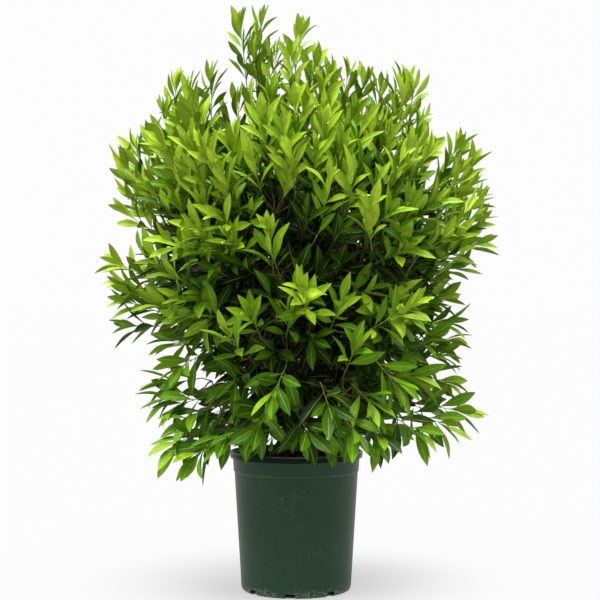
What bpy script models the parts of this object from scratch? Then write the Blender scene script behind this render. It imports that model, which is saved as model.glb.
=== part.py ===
"""A buttonwood shrub in a round nursery pot.

The pot is filled with soil. A short trunk stands on the soil and forks into stems. Each stem ends in
a leader mass of foliage, and boughs from the stems carry the skirt, waist and shoulder masses.
Metres, +Z up. The origin is the centre of the pot's flat underside, and -Y is the front.
"""

import math
import random
from collections import namedtuple
from itertools import product

import bmesh
import bpy
from mathutils import Matrix, Quaternion, Vector
from mathutils.bvhtree import BVHTree
from mathutils.geometry import interpolate_bezier

UP = Vector((0, 0, 1))
GOLDEN_ANGLE = math.radians(137.5)

# Clearance where one piece rests on another
GAP = 0.0003

# Pot
POT_HEIGHT = 0.256
POT_SIDES = 40
RIM_RADIUS = 0.127
RIM_DEPTH = 0.014
RIM_EDGE = 0.0015
BAND_DEPTH = 0.021
BAND_TOP_RADIUS = 0.121
BAND_STEP = 0.0015
BODY_TOP_RADIUS = 0.1176
BODY_FOOT_RADIUS = 0.1045
FOOT_CORNER = 0.008
WALL = 0.0024
FLOOR = 0.003

# Drain notches, cut through the foot of the pot all round
NOTCH_COUNT = 8
NOTCH_WIDTH = 0.0175
NOTCH_HEIGHT = 0.0068
NOTCH_REACH_IN = 0.013
FRONT_NOTCH_AZIMUTH = math.radians(263.7)

# Soil, heaped a little in the middle
SOIL_EDGE_HEIGHT = 0.247
SOIL_MIDDLE_HEIGHT = 0.262
SOIL_FLAT_RADIUS = 0.03

# Trunk and its fork
TRUNK_HEIGHT = 0.036
TRUNK_FLARE_RADIUS = 0.0215
TRUNK_TOP_RADIUS = 0.0158
STEM_COUNT = 6
STEM_RING_RADIUS = 0.0108
STEM_COLLAR = 0.004
STEM_SPREAD = 0.5
STEM_FOOT_RADIUS = 0.0047
STEM_TIP_RADIUS = 0.0028
STEM_POINTS = 9
BOUGH_FOOT_RADIUS = 0.0032
BOUGH_TIP_RADIUS = 0.0024
BOUGH_POINTS = 5
LIMB_END = 0.010
BOUGH_COLLAR = 0.007
BOUGH_OPENING = math.radians(52)

# Crown: shoots hang at its foot, reach out at its waist and stand up at its top
CROWN_FOOT = 0.25
RISE_AT_FOOT = -28.0
RISE_PER_METRE = 145.0
STEEPEST_RISE = 86.0

# How far the crown reaches to the left and to the right at each height
CROWN_OUTLINE = (
    (0.195, 0.21, 0.15), (0.225, 0.25, 0.22), (0.255, 0.28, 0.29), (0.34, 0.30, 0.36),
    (0.42, 0.31, 0.335), (0.50, 0.345, 0.34), (0.57, 0.37, 0.33), (0.63, 0.392, 0.36),
    (0.65, 0.385, 0.394), (0.78, 0.355, 0.385), (0.84, 0.362, 0.36), (0.90, 0.30, 0.27),
    (0.98, 0.26, 0.25), (1.01, 0.25, 0.21), (1.04, 0.24, 0.14), (1.06, 0.14, 0.07),
    (1.13, 0.12, 0.04),
)

# A tier of masses: how many, how far their tips reach out and up, how much further both go on the
# right, how deep each mass is, and the height at which their boughs leave the stems
Tier = namedtuple("Tier", "name count reach height reach_right height_right depth bough_height")
TIERS = (
    Tier("skirt", 6, 0.315, 0.300, 0.035, 0.035, 0.240, 0.335),
    Tier("waist", 8, 0.386, 0.640, 0.002, 0.008, 0.260, 0.420),
    Tier("shoulder", 6, 0.342, 0.862, 0.000, 0.003, 0.270, 0.520),
)
TIP_SWAY = 0.012
AZIMUTH_SWAY = math.radians(7)

# The tips of the leader masses, in the order in which their stems go round the trunk's fork
LEADER_TIPS = (
    (0.196, -0.030, 1.000),
    (0.097, 0.130, 1.035),
    (-0.150, 0.175, 1.025),
    (-0.077, 0.045, 1.124),
    (-0.208, -0.050, 0.990),
    (0.004, -0.055, 1.086),
)
LEADER_DEPTH = 0.32

# One mass: a stem, twigs that branch from it, and leaves on the twigs
MASS_STEM_RADIUS = 0.0034
TWIG_EVERY = 0.062
LOWEST_TWIG = 0.15
HIGHEST_TWIG = 0.70
LOWEST_OPENING = math.radians(80)
HIGHEST_OPENING = math.radians(46)
TWIG_LIFT = 0.25
TWIG_LENGTH = 0.115
TWIG_LEAST = 0.045
TWIG_FOOT_RADIUS = 0.0032
TWIG_TIP_RADIUS = 0.0022
LEAF_OPENINGS = tuple(math.radians(angle) for angle in (0, 34, 44, 54, 64, 70))
LEAF_SPACING = 0.015
LEAF_CLEAR_OF_FORK = 0.006
TERMINAL_LEAF_ROOT = 0.003
LEAF_LENGTH = 0.135
LEAF_WIDTH = 0.052
LEAF_THICKNESS = 0.0030
LEAF_FOLD = 0.0045
LEAF_ARCH = 0.006
LEAF_UPTURN = 0.8
LEAF_ROLL = 0.9
LEAF_WIDEST = 0.46
LEAF_THICKEST = 0.20
BLADE_START = 0.16
LEAF_SIZES = (1.0, 0.85, 0.70, 0.55)
LEAF_TURNS = (0.0, 0.6, -0.6, 1.2, -1.2, 2.4)
SHORTEST_EDGE = 0.00002
CELL_MARGIN = 0.0008
LIMB_CLEARANCE = 0.0015

Mass = namedtuple("Mass", "name tip axis root seed limb")
Twig = namedtuple("Twig", "start end turn tree")


def clear_scene():
    for old in list(bpy.data.objects):
        bpy.data.objects.remove(old)


def make_material(name, colour, roughness):
    material = bpy.data.materials.new(name)
    material.use_nodes = True
    shader = material.node_tree.nodes["Principled BSDF"]
    shader.inputs["Base Color"].default_value = (*colour, 1)
    shader.inputs["Roughness"].default_value = roughness
    shader.inputs["Metallic"].default_value = 0.0
    return material


def add_object(name, data, material, collection):
    made = bpy.data.objects.new(name, data)
    collection.objects.link(made)
    data.materials.append(material)
    return made


def make_collection(name, hidden=False):
    collection = bpy.data.collections.new(name)
    bpy.context.scene.collection.children.link(collection)
    collection.hide_render = hidden
    return collection


def around(azimuth):
    return Vector((math.cos(azimuth), math.sin(azimuth), 0))


def turned_piece(name, profile, sides, material, collection):
    """A solid of revolution: its (radius, height) profile runs down the outside, axis to axis."""
    mesh = bpy.data.meshes.new(name)
    edges = [(i, i + 1) for i in range(len(profile) - 1)]
    mesh.from_pydata([(radius, 0, height) for radius, height in profile], edges, [])
    piece = add_object(name, mesh, material, collection)
    screw = piece.modifiers.new("turn", "SCREW")
    screw.steps = screw.render_steps = sides
    screw.use_merge_vertices = True
    screw.merge_threshold = 0.00005
    screw.use_smooth_shade = True
    return piece


def body_radius(height):
    """The outside radius of the pot's plain wall, below its band."""
    band_foot = POT_HEIGHT - RIM_DEPTH - BAND_DEPTH
    share = (height - FOOT_CORNER) / (band_foot - FOOT_CORNER)
    return BODY_FOOT_RADIUS + share * (BODY_TOP_RADIUS - BODY_FOOT_RADIUS)


def build_pot(material, collection, cutters):
    rim_foot = POT_HEIGHT - RIM_DEPTH
    band_foot = rim_foot - BAND_DEPTH
    corner = FOOT_CORNER
    profile = (
        (0, FLOOR),
        (body_radius(corner) - WALL - 0.4 * corner, FLOOR),
        (body_radius(corner) - WALL, corner),
        (BODY_TOP_RADIUS - WALL, band_foot),
        (BAND_TOP_RADIUS - WALL, rim_foot),
        (RIM_RADIUS - 2 * WALL, POT_HEIGHT),
        (RIM_RADIUS - RIM_EDGE, POT_HEIGHT),
        (RIM_RADIUS, POT_HEIGHT - RIM_EDGE),
        (RIM_RADIUS - RIM_EDGE / 2, rim_foot),
        (BAND_TOP_RADIUS, rim_foot),
        (BODY_TOP_RADIUS + BAND_STEP, band_foot),
        (BODY_TOP_RADIUS, band_foot - BAND_STEP),
        (body_radius(corner), corner),
        (body_radius(corner) - 0.3 * corner, 0.3 * corner),
        (body_radius(corner) - corner, 0),
        (0, 0),
    )
    pot = turned_piece("pot", profile, POT_SIDES, material, collection)
    for i in range(NOTCH_COUNT):
        azimuth = FRONT_NOTCH_AZIMUTH + i * math.tau / NOTCH_COUNT
        bm = bmesh.new()
        bmesh.ops.create_cube(bm, size=1)
        depth = 2 * NOTCH_REACH_IN
        bmesh.ops.scale(bm, vec=(depth, NOTCH_WIDTH, 2 * NOTCH_HEIGHT), verts=bm.verts)
        mesh = bpy.data.meshes.new(f"notch_{i + 1}")
        bm.to_mesh(mesh)
        bm.free()
        cutter = add_object(mesh.name, mesh, material, cutters)
        cutter.location = around(azimuth) * (body_radius(corner) - NOTCH_REACH_IN + depth / 2)
        cutter.rotation_euler = (0, 0, azimuth)
        cutter.hide_render = True
        cutter.display_type = "WIRE"
    cut = pot.modifiers.new("drain notches", "BOOLEAN")
    cut.operation = "DIFFERENCE"
    cut.operand_type = "COLLECTION"
    cut.collection = cutters
    cut.solver = "EXACT"


def build_soil(material, collection):
    inside = WALL + GAP
    foot = FLOOR + GAP
    band_foot = POT_HEIGHT - RIM_DEPTH - BAND_DEPTH
    rim_foot = POT_HEIGHT - RIM_DEPTH
    profile = (
        (0, SOIL_MIDDLE_HEIGHT),
        (SOIL_FLAT_RADIUS, SOIL_MIDDLE_HEIGHT),
        (0.62 * BAND_TOP_RADIUS, 0.4 * SOIL_MIDDLE_HEIGHT + 0.6 * SOIL_EDGE_HEIGHT),
        (BAND_TOP_RADIUS - inside, SOIL_EDGE_HEIGHT),
        (BAND_TOP_RADIUS - inside, rim_foot),
        (BODY_TOP_RADIUS - inside, band_foot),
        (body_radius(FOOT_CORNER) - inside, FOOT_CORNER + GAP),
        (body_radius(FOOT_CORNER) - inside - 0.4 * FOOT_CORNER, foot),
        (0, foot),
    )
    turned_piece("soil", profile, POT_SIDES // 2, material, collection)


def build_trunk(material, collection):
    """A short trunk from a flat cut at the soil, flared at its foot, up to its fork."""
    foot = SOIL_MIDDLE_HEIGHT + GAP
    flare = TRUNK_FLARE_RADIUS - TRUNK_TOP_RADIUS
    profile = [(0, foot + TRUNK_HEIGHT)]
    for share in (1.0, 0.6, 0.3, 0.12, 0.0):
        radius = TRUNK_TOP_RADIUS + flare * (1 - share) ** 3
        profile.append((radius, foot + share * TRUNK_HEIGHT))
    profile.append((0, foot))
    turned_piece("trunk", profile, 2 * STEM_COUNT, material, collection)


def shoot_direction(point):
    """The way a shoot grows at this point of the crown."""
    rise = RISE_AT_FOOT + RISE_PER_METRE * (point.z - CROWN_FOOT)
    rise = math.radians(min(rise, STEEPEST_RISE))
    outward = Vector((point.x, point.y, 0)).normalized()
    return outward * math.cos(rise) + UP * math.sin(rise)


def in_outline(point):
    """Whether a point is inside the crown's outline, which goes round from its left to its right."""
    radius = math.hypot(point.x, point.y)
    for (low, *low_reach), (high, *high_reach) in zip(CROWN_OUTLINE, CROWN_OUTLINE[1:]):
        if low <= point.z <= high:
            share = (point.z - low) / (high - low)
            left, right = (a + share * (b - a) for a, b in zip(low_reach, high_reach))
            turned_right = 0.5 + 0.5 * point.x / max(radius, GAP)
            return radius < left + turned_right * (right - left)
    return False


def side_tips(tier):
    """The tips of one tier's masses, the first on the right."""
    chance = random.Random(tier.name)
    for i in range(tier.count):
        azimuth = i * math.tau / tier.count
        right = math.cos(azimuth)
        if abs(right) < 0.99:
            azimuth += chance.uniform(-AZIMUTH_SWAY, AZIMUTH_SWAY)
        reach = tier.reach + tier.reach_right * right
        height = tier.height + tier.height_right * right + chance.uniform(-TIP_SWAY, TIP_SWAY)
        yield around(azimuth) * reach + UP * height


def plan_mass(name, tip, depth, limb_name):
    axis = shoot_direction(tip)
    root = tip - axis * depth
    return Mass(name, tip, axis, root, root.lerp(tip, 0.58), limb_name)


def plan_masses():
    masses = []
    for i, tip in enumerate(LEADER_TIPS):
        name = f"foliage_leader_{i + 1}"
        masses.append(plan_mass(name, Vector(tip), LEADER_DEPTH, f"stem_{i + 1}"))
    for tier in TIERS:
        for i, tip in enumerate(side_tips(tier)):
            name = f"foliage_{tier.name}_{i + 1}"
            masses.append(plan_mass(name, tip, tier.depth, f"bough_{tier.name}_{i + 1}"))
    return masses


def bend_to_mass(start, way, pull, mass, count):
    """Points of a limb that sets off this way and comes in straight at a mass's root."""
    end = mass.root - mass.axis * GAP
    straight = end - mass.axis * LIMB_END
    pull = pull * (straight - start).length
    bend = interpolate_bezier(
        start, start + way * pull, straight - mass.axis * pull, straight, count
    )
    return [*bend, end]


def stem_path(i, mass):
    """A stem rises from the trunk's fork, leans out and ends at its mass's root."""
    outward = around(i * math.tau / STEM_COUNT)
    foot = outward * STEM_RING_RADIUS + UP * (SOIL_MIDDLE_HEIGHT + TRUNK_HEIGHT + 2 * GAP)
    collar = foot + UP * STEM_COLLAR
    way = (UP + outward * STEM_SPREAD).normalized()
    return [foot, *bend_to_mass(collar, way, 0.38, mass, STEM_POINTS - 2)]


def point_at_height(path, height):
    """Where a rising path passes this height: the point, its direction and how far along it is."""
    for i, (low, high) in enumerate(zip(path, path[1:])):
        if low.z <= height <= high.z:
            share = (height - low.z) / (high.z - low.z)
            return low.lerp(high, share), (high - low).normalized(), (i + share) / (len(path) - 1)
    raise ValueError(f"no stem passes the height {height}")


def bough_path(mass, stem, height):
    """A bough leaves the stem's side, 0.3 mm clear of it, and ends at its mass's root."""
    centre, tangent, share = point_at_height(stem, height)
    outward = mass.root - centre
    side = (outward - tangent * outward.dot(tangent)).normalized()
    stem_radius = STEM_FOOT_RADIUS + share * (STEM_TIP_RADIUS - STEM_FOOT_RADIUS)
    clear = stem_radius + BOUGH_FOOT_RADIUS * math.cos(BOUGH_OPENING) + GAP
    start = centre + side * clear
    way = side * math.sin(BOUGH_OPENING) + tangent * math.cos(BOUGH_OPENING)
    return [start, *bend_to_mass(start + way * BOUGH_COLLAR, way, 0.36, mass, BOUGH_POINTS)]


def build_limb(name, path, foot_radius, tip_radius, bevel_resolution, material, collection):
    curve = bpy.data.curves.new(name, "CURVE")
    curve.dimensions = "3D"
    curve.bevel_depth = foot_radius
    curve.bevel_resolution = bevel_resolution
    curve.use_fill_caps = True
    spline = curve.splines.new("POLY")
    spline.points.add(len(path) - 1)
    last = len(path) - 1
    for i, (point, place) in enumerate(zip(spline.points, path)):
        point.co = (*place, 1)
        point.radius = 1 + (tip_radius / foot_radius - 1) * i / last
    return add_object(name, curve, material, collection)


def build_limbs(masses, material, collection):
    """The stems, and the boughs that leave them towards the side masses."""
    stems = []
    for i, mass in enumerate(masses[:STEM_COUNT]):
        path = stem_path(i, mass)
        stems.append(path)
        build_limb(mass.limb, path, STEM_FOOT_RADIUS, STEM_TIP_RADIUS, 2, material, collection)
    taken = {}
    tiers = {tier.name: tier for tier in TIERS}
    for mass in masses[STEM_COUNT:]:
        tier = tiers[mass.limb.split("_")[1]]
        nearest = min(
            range(STEM_COUNT),
            key=lambda k: (
                point_at_height(stems[k], tier.bough_height)[0] - mass.root
            ).length,
        )
        rank = taken.get((nearest, tier.name), 0)
        taken[(nearest, tier.name)] = rank + 1
        path = bough_path(mass, stems[nearest], tier.bough_height + 0.022 * rank)
        build_limb(mass.limb, path, BOUGH_FOOT_RADIUS, BOUGH_TIP_RADIUS, 1, material, collection)


def evaluated_mesh(piece):
    graph = bpy.context.evaluated_depsgraph_get()
    return bpy.data.meshes.new_from_object(piece.evaluated_get(graph))


def tree_of(pieces):
    """One tree for overlap tests on all of these pieces."""
    bm = bmesh.new()
    for piece in pieces:
        mesh = evaluated_mesh(piece)
        mesh.transform(piece.matrix_world)
        bm.from_mesh(mesh)
        bpy.data.meshes.remove(mesh)
    tree = BVHTree.FromBMesh(bm)
    bm.free()
    return tree


class Cell:
    """A mass's own space: nearer to its seed than to any other, and within the crown's outline."""

    def __init__(self, mass, masses):
        self.planes = []
        for other in masses:
            if other is not mass:
                normal = (other.seed - mass.seed).normalized()
                middle = (other.seed + mass.seed) / 2
                self.planes.append((normal, normal.dot(middle) - CELL_MARGIN))

    def holds(self, point):
        if not in_outline(point):
            return False
        return all(normal.dot(point) < limit for normal, limit in self.planes)

    def room(self, start, way, most):
        """How far one can go from start this way and stay in the cell."""
        step = 0.01
        gone = 0.0
        while gone < most and self.holds(start + way * (gone + step)):
            gone += step
        return gone


def leaf_shape(swell=0.0):
    """A folded, arched leaf of 8 faces, a unit long: +Z from root to tip, +Y its upper side."""
    half_width = 0.5 * LEAF_WIDTH / LEAF_LENGTH + swell
    half_thickness = 0.5 * LEAF_THICKNESS / LEAF_LENGTH + swell
    fold, arch = LEAF_FOLD / LEAF_LENGTH, LEAF_ARCH / LEAF_LENGTH
    bm = bmesh.new()
    bmesh.ops.create_uvsphere(bm, u_segments=4, v_segments=2, radius=1)
    for vert in bm.verts:
        x, y, z = (round(value) for value in vert.co)
        if z:
            vert.co = (0, 0, max(z, 0))
        elif x:
            vert.co = (x * half_width, arch + fold, LEAF_WIDEST)
        else:
            vert.co = (0, arch * LEAF_THICKEST / LEAF_WIDEST + y * half_thickness, LEAF_THICKEST)
    mesh = bpy.data.meshes.new("leaf shape")
    bm.to_mesh(mesh)
    bm.free()
    return mesh


def twig_mesh(start, end, foot_radius, tip_radius):
    """A tapering three-sided twig."""
    bm = bmesh.new()
    length = (end - start).length
    bmesh.ops.create_cone(
        bm, cap_ends=True, segments=3, radius1=foot_radius, radius2=tip_radius, depth=length
    )
    turn = (end - start).to_track_quat("Z", "Y").to_matrix().to_4x4()
    bmesh.ops.transform(bm, matrix=Matrix.Translation((start + end) / 2) @ turn, verts=bm.verts)
    mesh = bpy.data.meshes.new("twig")
    bm.to_mesh(mesh)
    bm.free()
    return mesh


def points_and_faces(mesh):
    return [v.co.copy() for v in mesh.vertices], [tuple(p.vertices) for p in mesh.polygons]


def side_way(direction, turn):
    """A unit vector square to a direction, turned this far round it."""
    first = direction.orthogonal().normalized()
    return first * math.cos(turn) + direction.cross(first) * math.sin(turn)


def leaf_matrix(root, way, facing, length):
    """The place of a leaf whose root, direction, upper side and length are given."""
    upper = (facing - way * facing.dot(way)).normalized()
    across = upper.cross(way)
    turn = Matrix((across, upper, way)).transposed().to_4x4()
    return Matrix.Translation(root) @ turn @ Matrix.Scale(length, 4)


class MassGrower:
    """Grows one mass of foliage by a seeded rule, in its own cell and clear of the limbs."""

    def __init__(self, mass, masses, obstacles, shapes, material, collection):
        self.mass = mass
        self.cell = Cell(mass, masses)
        self.obstacles = obstacles
        self.shape, self.swollen = shapes
        self.material = material
        self.collection = collection
        self.chance = random.Random(mass.name)
        self.pieces = make_collection(f"{mass.name} pieces")
        self.twigs = []
        self.blades = []

    def add(self, mesh):
        return add_object(mesh.name, mesh, self.material, self.pieces)

    def grow_twig(self, start, way, length, turn):
        """Adds a twig if it stays in the cell, clear of the limbs and of the other twigs."""
        end = start + way * length
        radii = TWIG_FOOT_RADIUS, TWIG_TIP_RADIUS
        free = start + way * min(2.5 * TWIG_FOOT_RADIUS, 0.5 * length)
        probe = twig_mesh(free, end, *(radius + LIMB_CLEARANCE for radius in radii))
        tree = BVHTree.FromPolygons(*points_and_faces(probe))
        others = [self.obstacles] + [twig.tree for twig in self.twigs]
        if not self.cell.holds(end) or any(tree.overlap(other) for other in others):
            return False
        mesh = twig_mesh(start, end, *radii)
        self.add(mesh)
        self.twigs.append(Twig(start, end, turn, BVHTree.FromPolygons(*points_and_faces(mesh))))
        return True

    def grow_leaf(self, root, way, length, roll, clear_of):
        """Adds a leaf if it stays in the cell and clear of the limbs, twigs and other blades."""
        outward = Vector((root.x, root.y, 0)).normalized()
        facing = (outward + LEAF_UPTURN * UP).normalized()
        if abs(way.dot(facing)) > 0.94:
            facing = UP - LEAF_UPTURN * outward
        facing.rotate(Quaternion(way, roll))
        place = leaf_matrix(root, way, facing, length)
        points, faces = points_and_faces(self.shape)
        points = [place @ point for point in points]
        if not all(self.cell.holds(point) for point in points):
            return False
        swollen = BVHTree.FromPolygons([place @ v.co for v in self.swollen.vertices], faces)
        if any(swollen.overlap(other) for other in clear_of):
            return False
        stalk = root + way * BLADE_START * length
        blade = [stalk if (point - root).length < 1e-6 else point for point in points]
        tree = BVHTree.FromPolygons(blade, faces)
        if any(tree.overlap(other) for other in self.blades):
            return False
        self.blades.append(tree)
        mesh = self.shape.copy()
        mesh.transform(place)
        self.add(mesh)
        return True

    def leaf_twig(self, twig):
        """Sets leaves down a twig in a spiral, the first at its tip, each as long as fits."""
        length = (twig.end - twig.start).length
        way = (twig.end - twig.start).normalized()
        clear_of = [self.obstacles] + [other.tree for other in self.twigs if other is not twig]
        for i, opening in enumerate(LEAF_OPENINGS):
            back = TERMINAL_LEAF_ROOT + i * LEAF_SPACING
            if back > length - LEAF_CLEAR_OF_FORK:
                return
            roll = self.chance.uniform(-LEAF_ROLL, LEAF_ROLL)
            for size, turn in product(LEAF_SIZES, LEAF_TURNS):
                side = side_way(way, twig.turn + i * GOLDEN_ANGLE + turn)
                leaf_way = way * math.cos(opening) + side * math.sin(opening)
                root = twig.end - way * back
                if self.grow_leaf(root, leaf_way, LEAF_LENGTH * size, roll, clear_of):
                    break

    def grow(self):
        mass, chance = self.mass, self.chance
        end = mass.tip - mass.axis * (LEAF_LENGTH - TERMINAL_LEAF_ROOT)
        mesh = twig_mesh(mass.root, end, MASS_STEM_RADIUS, TWIG_TIP_RADIUS)
        stem = add_object(mass.name, mesh, self.material, self.collection)
        phase = chance.uniform(0, math.tau)
        stem_twig = Twig(mass.root, end, phase, BVHTree.FromPolygons(*points_and_faces(mesh)))
        count = round((mass.tip - mass.root).length / TWIG_EVERY)
        for i in range(count):
            share = i / (count - 1)
            start = mass.root.lerp(end, LOWEST_TWIG + (HIGHEST_TWIG - LOWEST_TWIG) * share)
            opening = LOWEST_OPENING + (HIGHEST_OPENING - LOWEST_OPENING) * share
            turn = phase + i * GOLDEN_ANGLE + chance.uniform(-0.3, 0.3)
            side = side_way(mass.axis, turn)
            way = mass.axis * math.cos(opening) + side * math.sin(opening)
            way = (way + TWIG_LIFT * shoot_direction(start + way * TWIG_LENGTH)).normalized()
            length = min(TWIG_LENGTH, self.cell.room(start, way, 0.3) - 0.75 * LEAF_LENGTH)
            self.grow_twig(start, way, max(length, TWIG_LEAST), turn)
        self.twigs.insert(0, stem_twig)
        for twig in self.twigs:
            self.leaf_twig(twig)
        self.fuse(stem)

    def fuse(self, stem):
        """Joins the stem, twigs and leaves into one closed solid."""
        join = stem.modifiers.new("join", "BOOLEAN")
        join.operation = "UNION"
        join.operand_type = "COLLECTION"
        join.collection = self.pieces
        join.solver = "EXACT"
        bpy.context.view_layer.update()
        mesh = evaluated_mesh(stem)
        stem.modifiers.clear()
        for piece in list(self.pieces.objects):
            bpy.data.objects.remove(piece)
        bpy.data.collections.remove(self.pieces)
        keep_largest_body(mesh)
        stem.data = mesh


def keep_largest_body(mesh):
    """Drops loose scraps, and fills the hollows that fusing sealed, by keeping one outer surface."""
    bm = bmesh.new()
    bm.from_mesh(mesh)
    bmesh.ops.triangulate(bm, faces=bm.faces)
    bm.faces.ensure_lookup_table()
    bodies, seen = [], set()
    for face in bm.faces:
        if face in seen:
            continue
        body, edge_of = [], [face]
        seen.add(face)
        while edge_of:
            here = edge_of.pop()
            body.append(here)
            for edge in here.edges:
                for other in edge.link_faces:
                    if other not in seen:
                        seen.add(other)
                        edge_of.append(other)
        bodies.append(body)
    bodies.sort(key=len)
    for body in bodies[:-1]:
        bmesh.ops.delete(bm, geom=body, context="FACES")
    bm.to_mesh(mesh)
    bm.free()


def main():
    clear_scene()
    plastic = make_material("pot_plastic", (0.025, 0.062, 0.036), 0.42)
    earth = make_material("soil", (0.020, 0.014, 0.010), 0.95)
    bark = make_material("bark", (0.150, 0.105, 0.070), 0.85)
    leaf = make_material("foliage", (0.110, 0.280, 0.020), 0.40)
    plant = make_collection("potted_buttonwood")
    cutters = make_collection("cutters", hidden=True)
    build_pot(plastic, plant, cutters)
    build_soil(earth, plant)
    build_trunk(bark, plant)
    masses = plan_masses()
    build_limbs(masses, bark, plant)
    bpy.context.view_layer.update()
    obstacles = tree_of(plant.objects)
    shapes = leaf_shape(), leaf_shape(swell=LIMB_CLEARANCE / LEAF_LENGTH)
    for mass in masses:
        MassGrower(mass, masses, obstacles, shapes, leaf, plant).grow()


main()
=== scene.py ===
"""The looks of a buttonwood shrub in a round nursery pot.

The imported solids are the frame. The pot, soil, trunk and limbs are made again with their finish, and each
mass of foliage grows on from its limb by the rule that made its solid, carried on to fine shoots with
life-sized leaves. Metres, +Z up, -Y towards the camera.
"""

import logging
import math
import random
from collections.abc import Iterator, Sequence
from dataclasses import dataclass, field
from enum import Enum
from itertools import product

import bmesh
import bpy
import numpy as np
from bmesh.types import BMesh, BMFace, BMVert
from bpy.types import ID, Material, Mesh, Node, NodeSocket, NodeTree, Object, bpy_prop_collection
from mathutils import Matrix, Quaternion, Vector, noise
from mathutils.bvhtree import BVHTree
from mathutils.geometry import interpolate_bezier


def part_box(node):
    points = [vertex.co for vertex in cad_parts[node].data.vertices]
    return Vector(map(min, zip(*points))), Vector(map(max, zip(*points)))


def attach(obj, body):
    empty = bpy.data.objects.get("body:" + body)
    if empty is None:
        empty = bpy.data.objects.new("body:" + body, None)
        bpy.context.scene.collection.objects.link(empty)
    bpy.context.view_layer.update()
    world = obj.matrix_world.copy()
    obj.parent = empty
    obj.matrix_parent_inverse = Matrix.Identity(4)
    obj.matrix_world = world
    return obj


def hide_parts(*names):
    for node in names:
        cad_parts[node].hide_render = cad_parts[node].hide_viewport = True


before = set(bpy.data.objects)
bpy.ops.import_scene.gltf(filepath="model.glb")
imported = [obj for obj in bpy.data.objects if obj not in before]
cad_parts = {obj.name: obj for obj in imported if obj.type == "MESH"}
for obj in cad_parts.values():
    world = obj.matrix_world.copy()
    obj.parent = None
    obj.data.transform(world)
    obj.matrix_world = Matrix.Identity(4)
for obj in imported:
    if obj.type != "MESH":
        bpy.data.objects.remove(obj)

LOG = logging.getLogger("buttonwood")

BODY = "root"
UP = Vector((0, 0, 1))
GOLDEN_ANGLE = math.radians(137.5)
GAP = 0.0003
WELD = 1e-6
FACE_BUDGET = 190_000

Colour = tuple[float, float, float]
Span = tuple[float, float]
Table = tuple[tuple[float, ...], ...]
Paths = dict[str, list[Vector]]


@dataclass(frozen=True)
class View:
    """Where the camera stands and how far it sees, so that a point of the picture can be given a place."""

    right: float = 0.0072
    distance: float = 2.80
    height: float = 0.551
    frame_pixels: int = 600
    focal_pixels: float = 1467.0

    def place(self, across: float, down: float, back: float) -> Vector:
        """Returns the place that the picture shows at a pixel, so far behind the pot's middle."""
        scale = (self.distance + back) / self.focal_pixels
        middle = self.frame_pixels / 2
        return Vector((self.right + (across - middle) * scale, back, self.height - (down - middle) * scale))


VIEW = View()


def around(azimuth: float) -> Vector:
    """Returns the level unit vector at this azimuth."""
    return Vector((math.cos(azimuth), math.sin(azimuth), 0))


def side_way(direction: Vector, turn: float) -> Vector:
    """Returns a unit vector square to a direction, turned this far round it."""
    first = direction.orthogonal().normalized()
    return first * math.cos(turn) + direction.cross(first) * math.sin(turn)


def leaning(axis: Vector, opening: float, turn: float) -> Vector:
    """Returns the way that opens from an axis by one angle and is turned round it by the other."""
    return axis * math.cos(opening) + side_way(axis, turn) * math.sin(opening)


def level_way(point: Vector) -> Vector:
    """Returns the level unit vector from the upright middle line towards a point."""
    return Vector((point.x, point.y, 0)).normalized()


def rising(level: Vector, rise: float) -> Vector:
    """Returns a level unit vector tilted up by this angle."""
    return level * math.cos(rise) + UP * math.sin(rise)


def clamp(share: float) -> float:
    """Returns a share, held between 0 and 1."""
    return min(max(share, 0.0), 1.0)


def blend(low: float, high: float, share: float) -> float:
    """Returns the number this share of the way from low to high, which the share may not pass."""
    return low + (high - low) * clamp(share)


def level_at(table: Table, where: float) -> float:
    """Returns the level at a place, from a table of places with their levels."""
    return float(np.interp(where, *zip(*table)))


def linear(red: int, green: int, blue: int) -> Colour:
    """Returns the linear colour of a screen colour given in steps of 255."""
    levels = (step / 255 for step in (red, green, blue))
    return tuple(level / 12.92 if level < 0.04045 else ((level + 0.055) / 1.055) ** 2.4 for level in levels)


class Value:
    """A number socket that takes part in Python expressions by adding Math nodes."""

    def __init__(self, nodes: "Nodes", socket: NodeSocket) -> None:
        """Wraps a socket of the tree that these nodes are in."""
        self.nodes = nodes
        self.socket = socket

    def combine(self, operation: str, first: "Value | float", second: "Value | float") -> "Value":
        """Returns the result of one new Math node for two numbers."""
        made = self.nodes.node("ShaderNodeMath", {"operation": operation}, {0: first, 1: second})
        return Value(self.nodes, made.outputs[0])

    def __add__(self, other: "Value | float") -> "Value":
        """Returns self + other."""
        return self.combine("ADD", self, other)

    def __radd__(self, other: float) -> "Value":
        """Returns other + self."""
        return self.combine("ADD", other, self)

    def __sub__(self, other: "Value | float") -> "Value":
        """Returns self - other."""
        return self.combine("SUBTRACT", self, other)

    def __rsub__(self, other: float) -> "Value":
        """Returns other - self."""
        return self.combine("SUBTRACT", other, self)

    def __mul__(self, other: "Value | float") -> "Value":
        """Returns self * other."""
        return self.combine("MULTIPLY", self, other)

    def __rmul__(self, other: float) -> "Value":
        """Returns other * self."""
        return self.combine("MULTIPLY", other, self)


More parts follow.
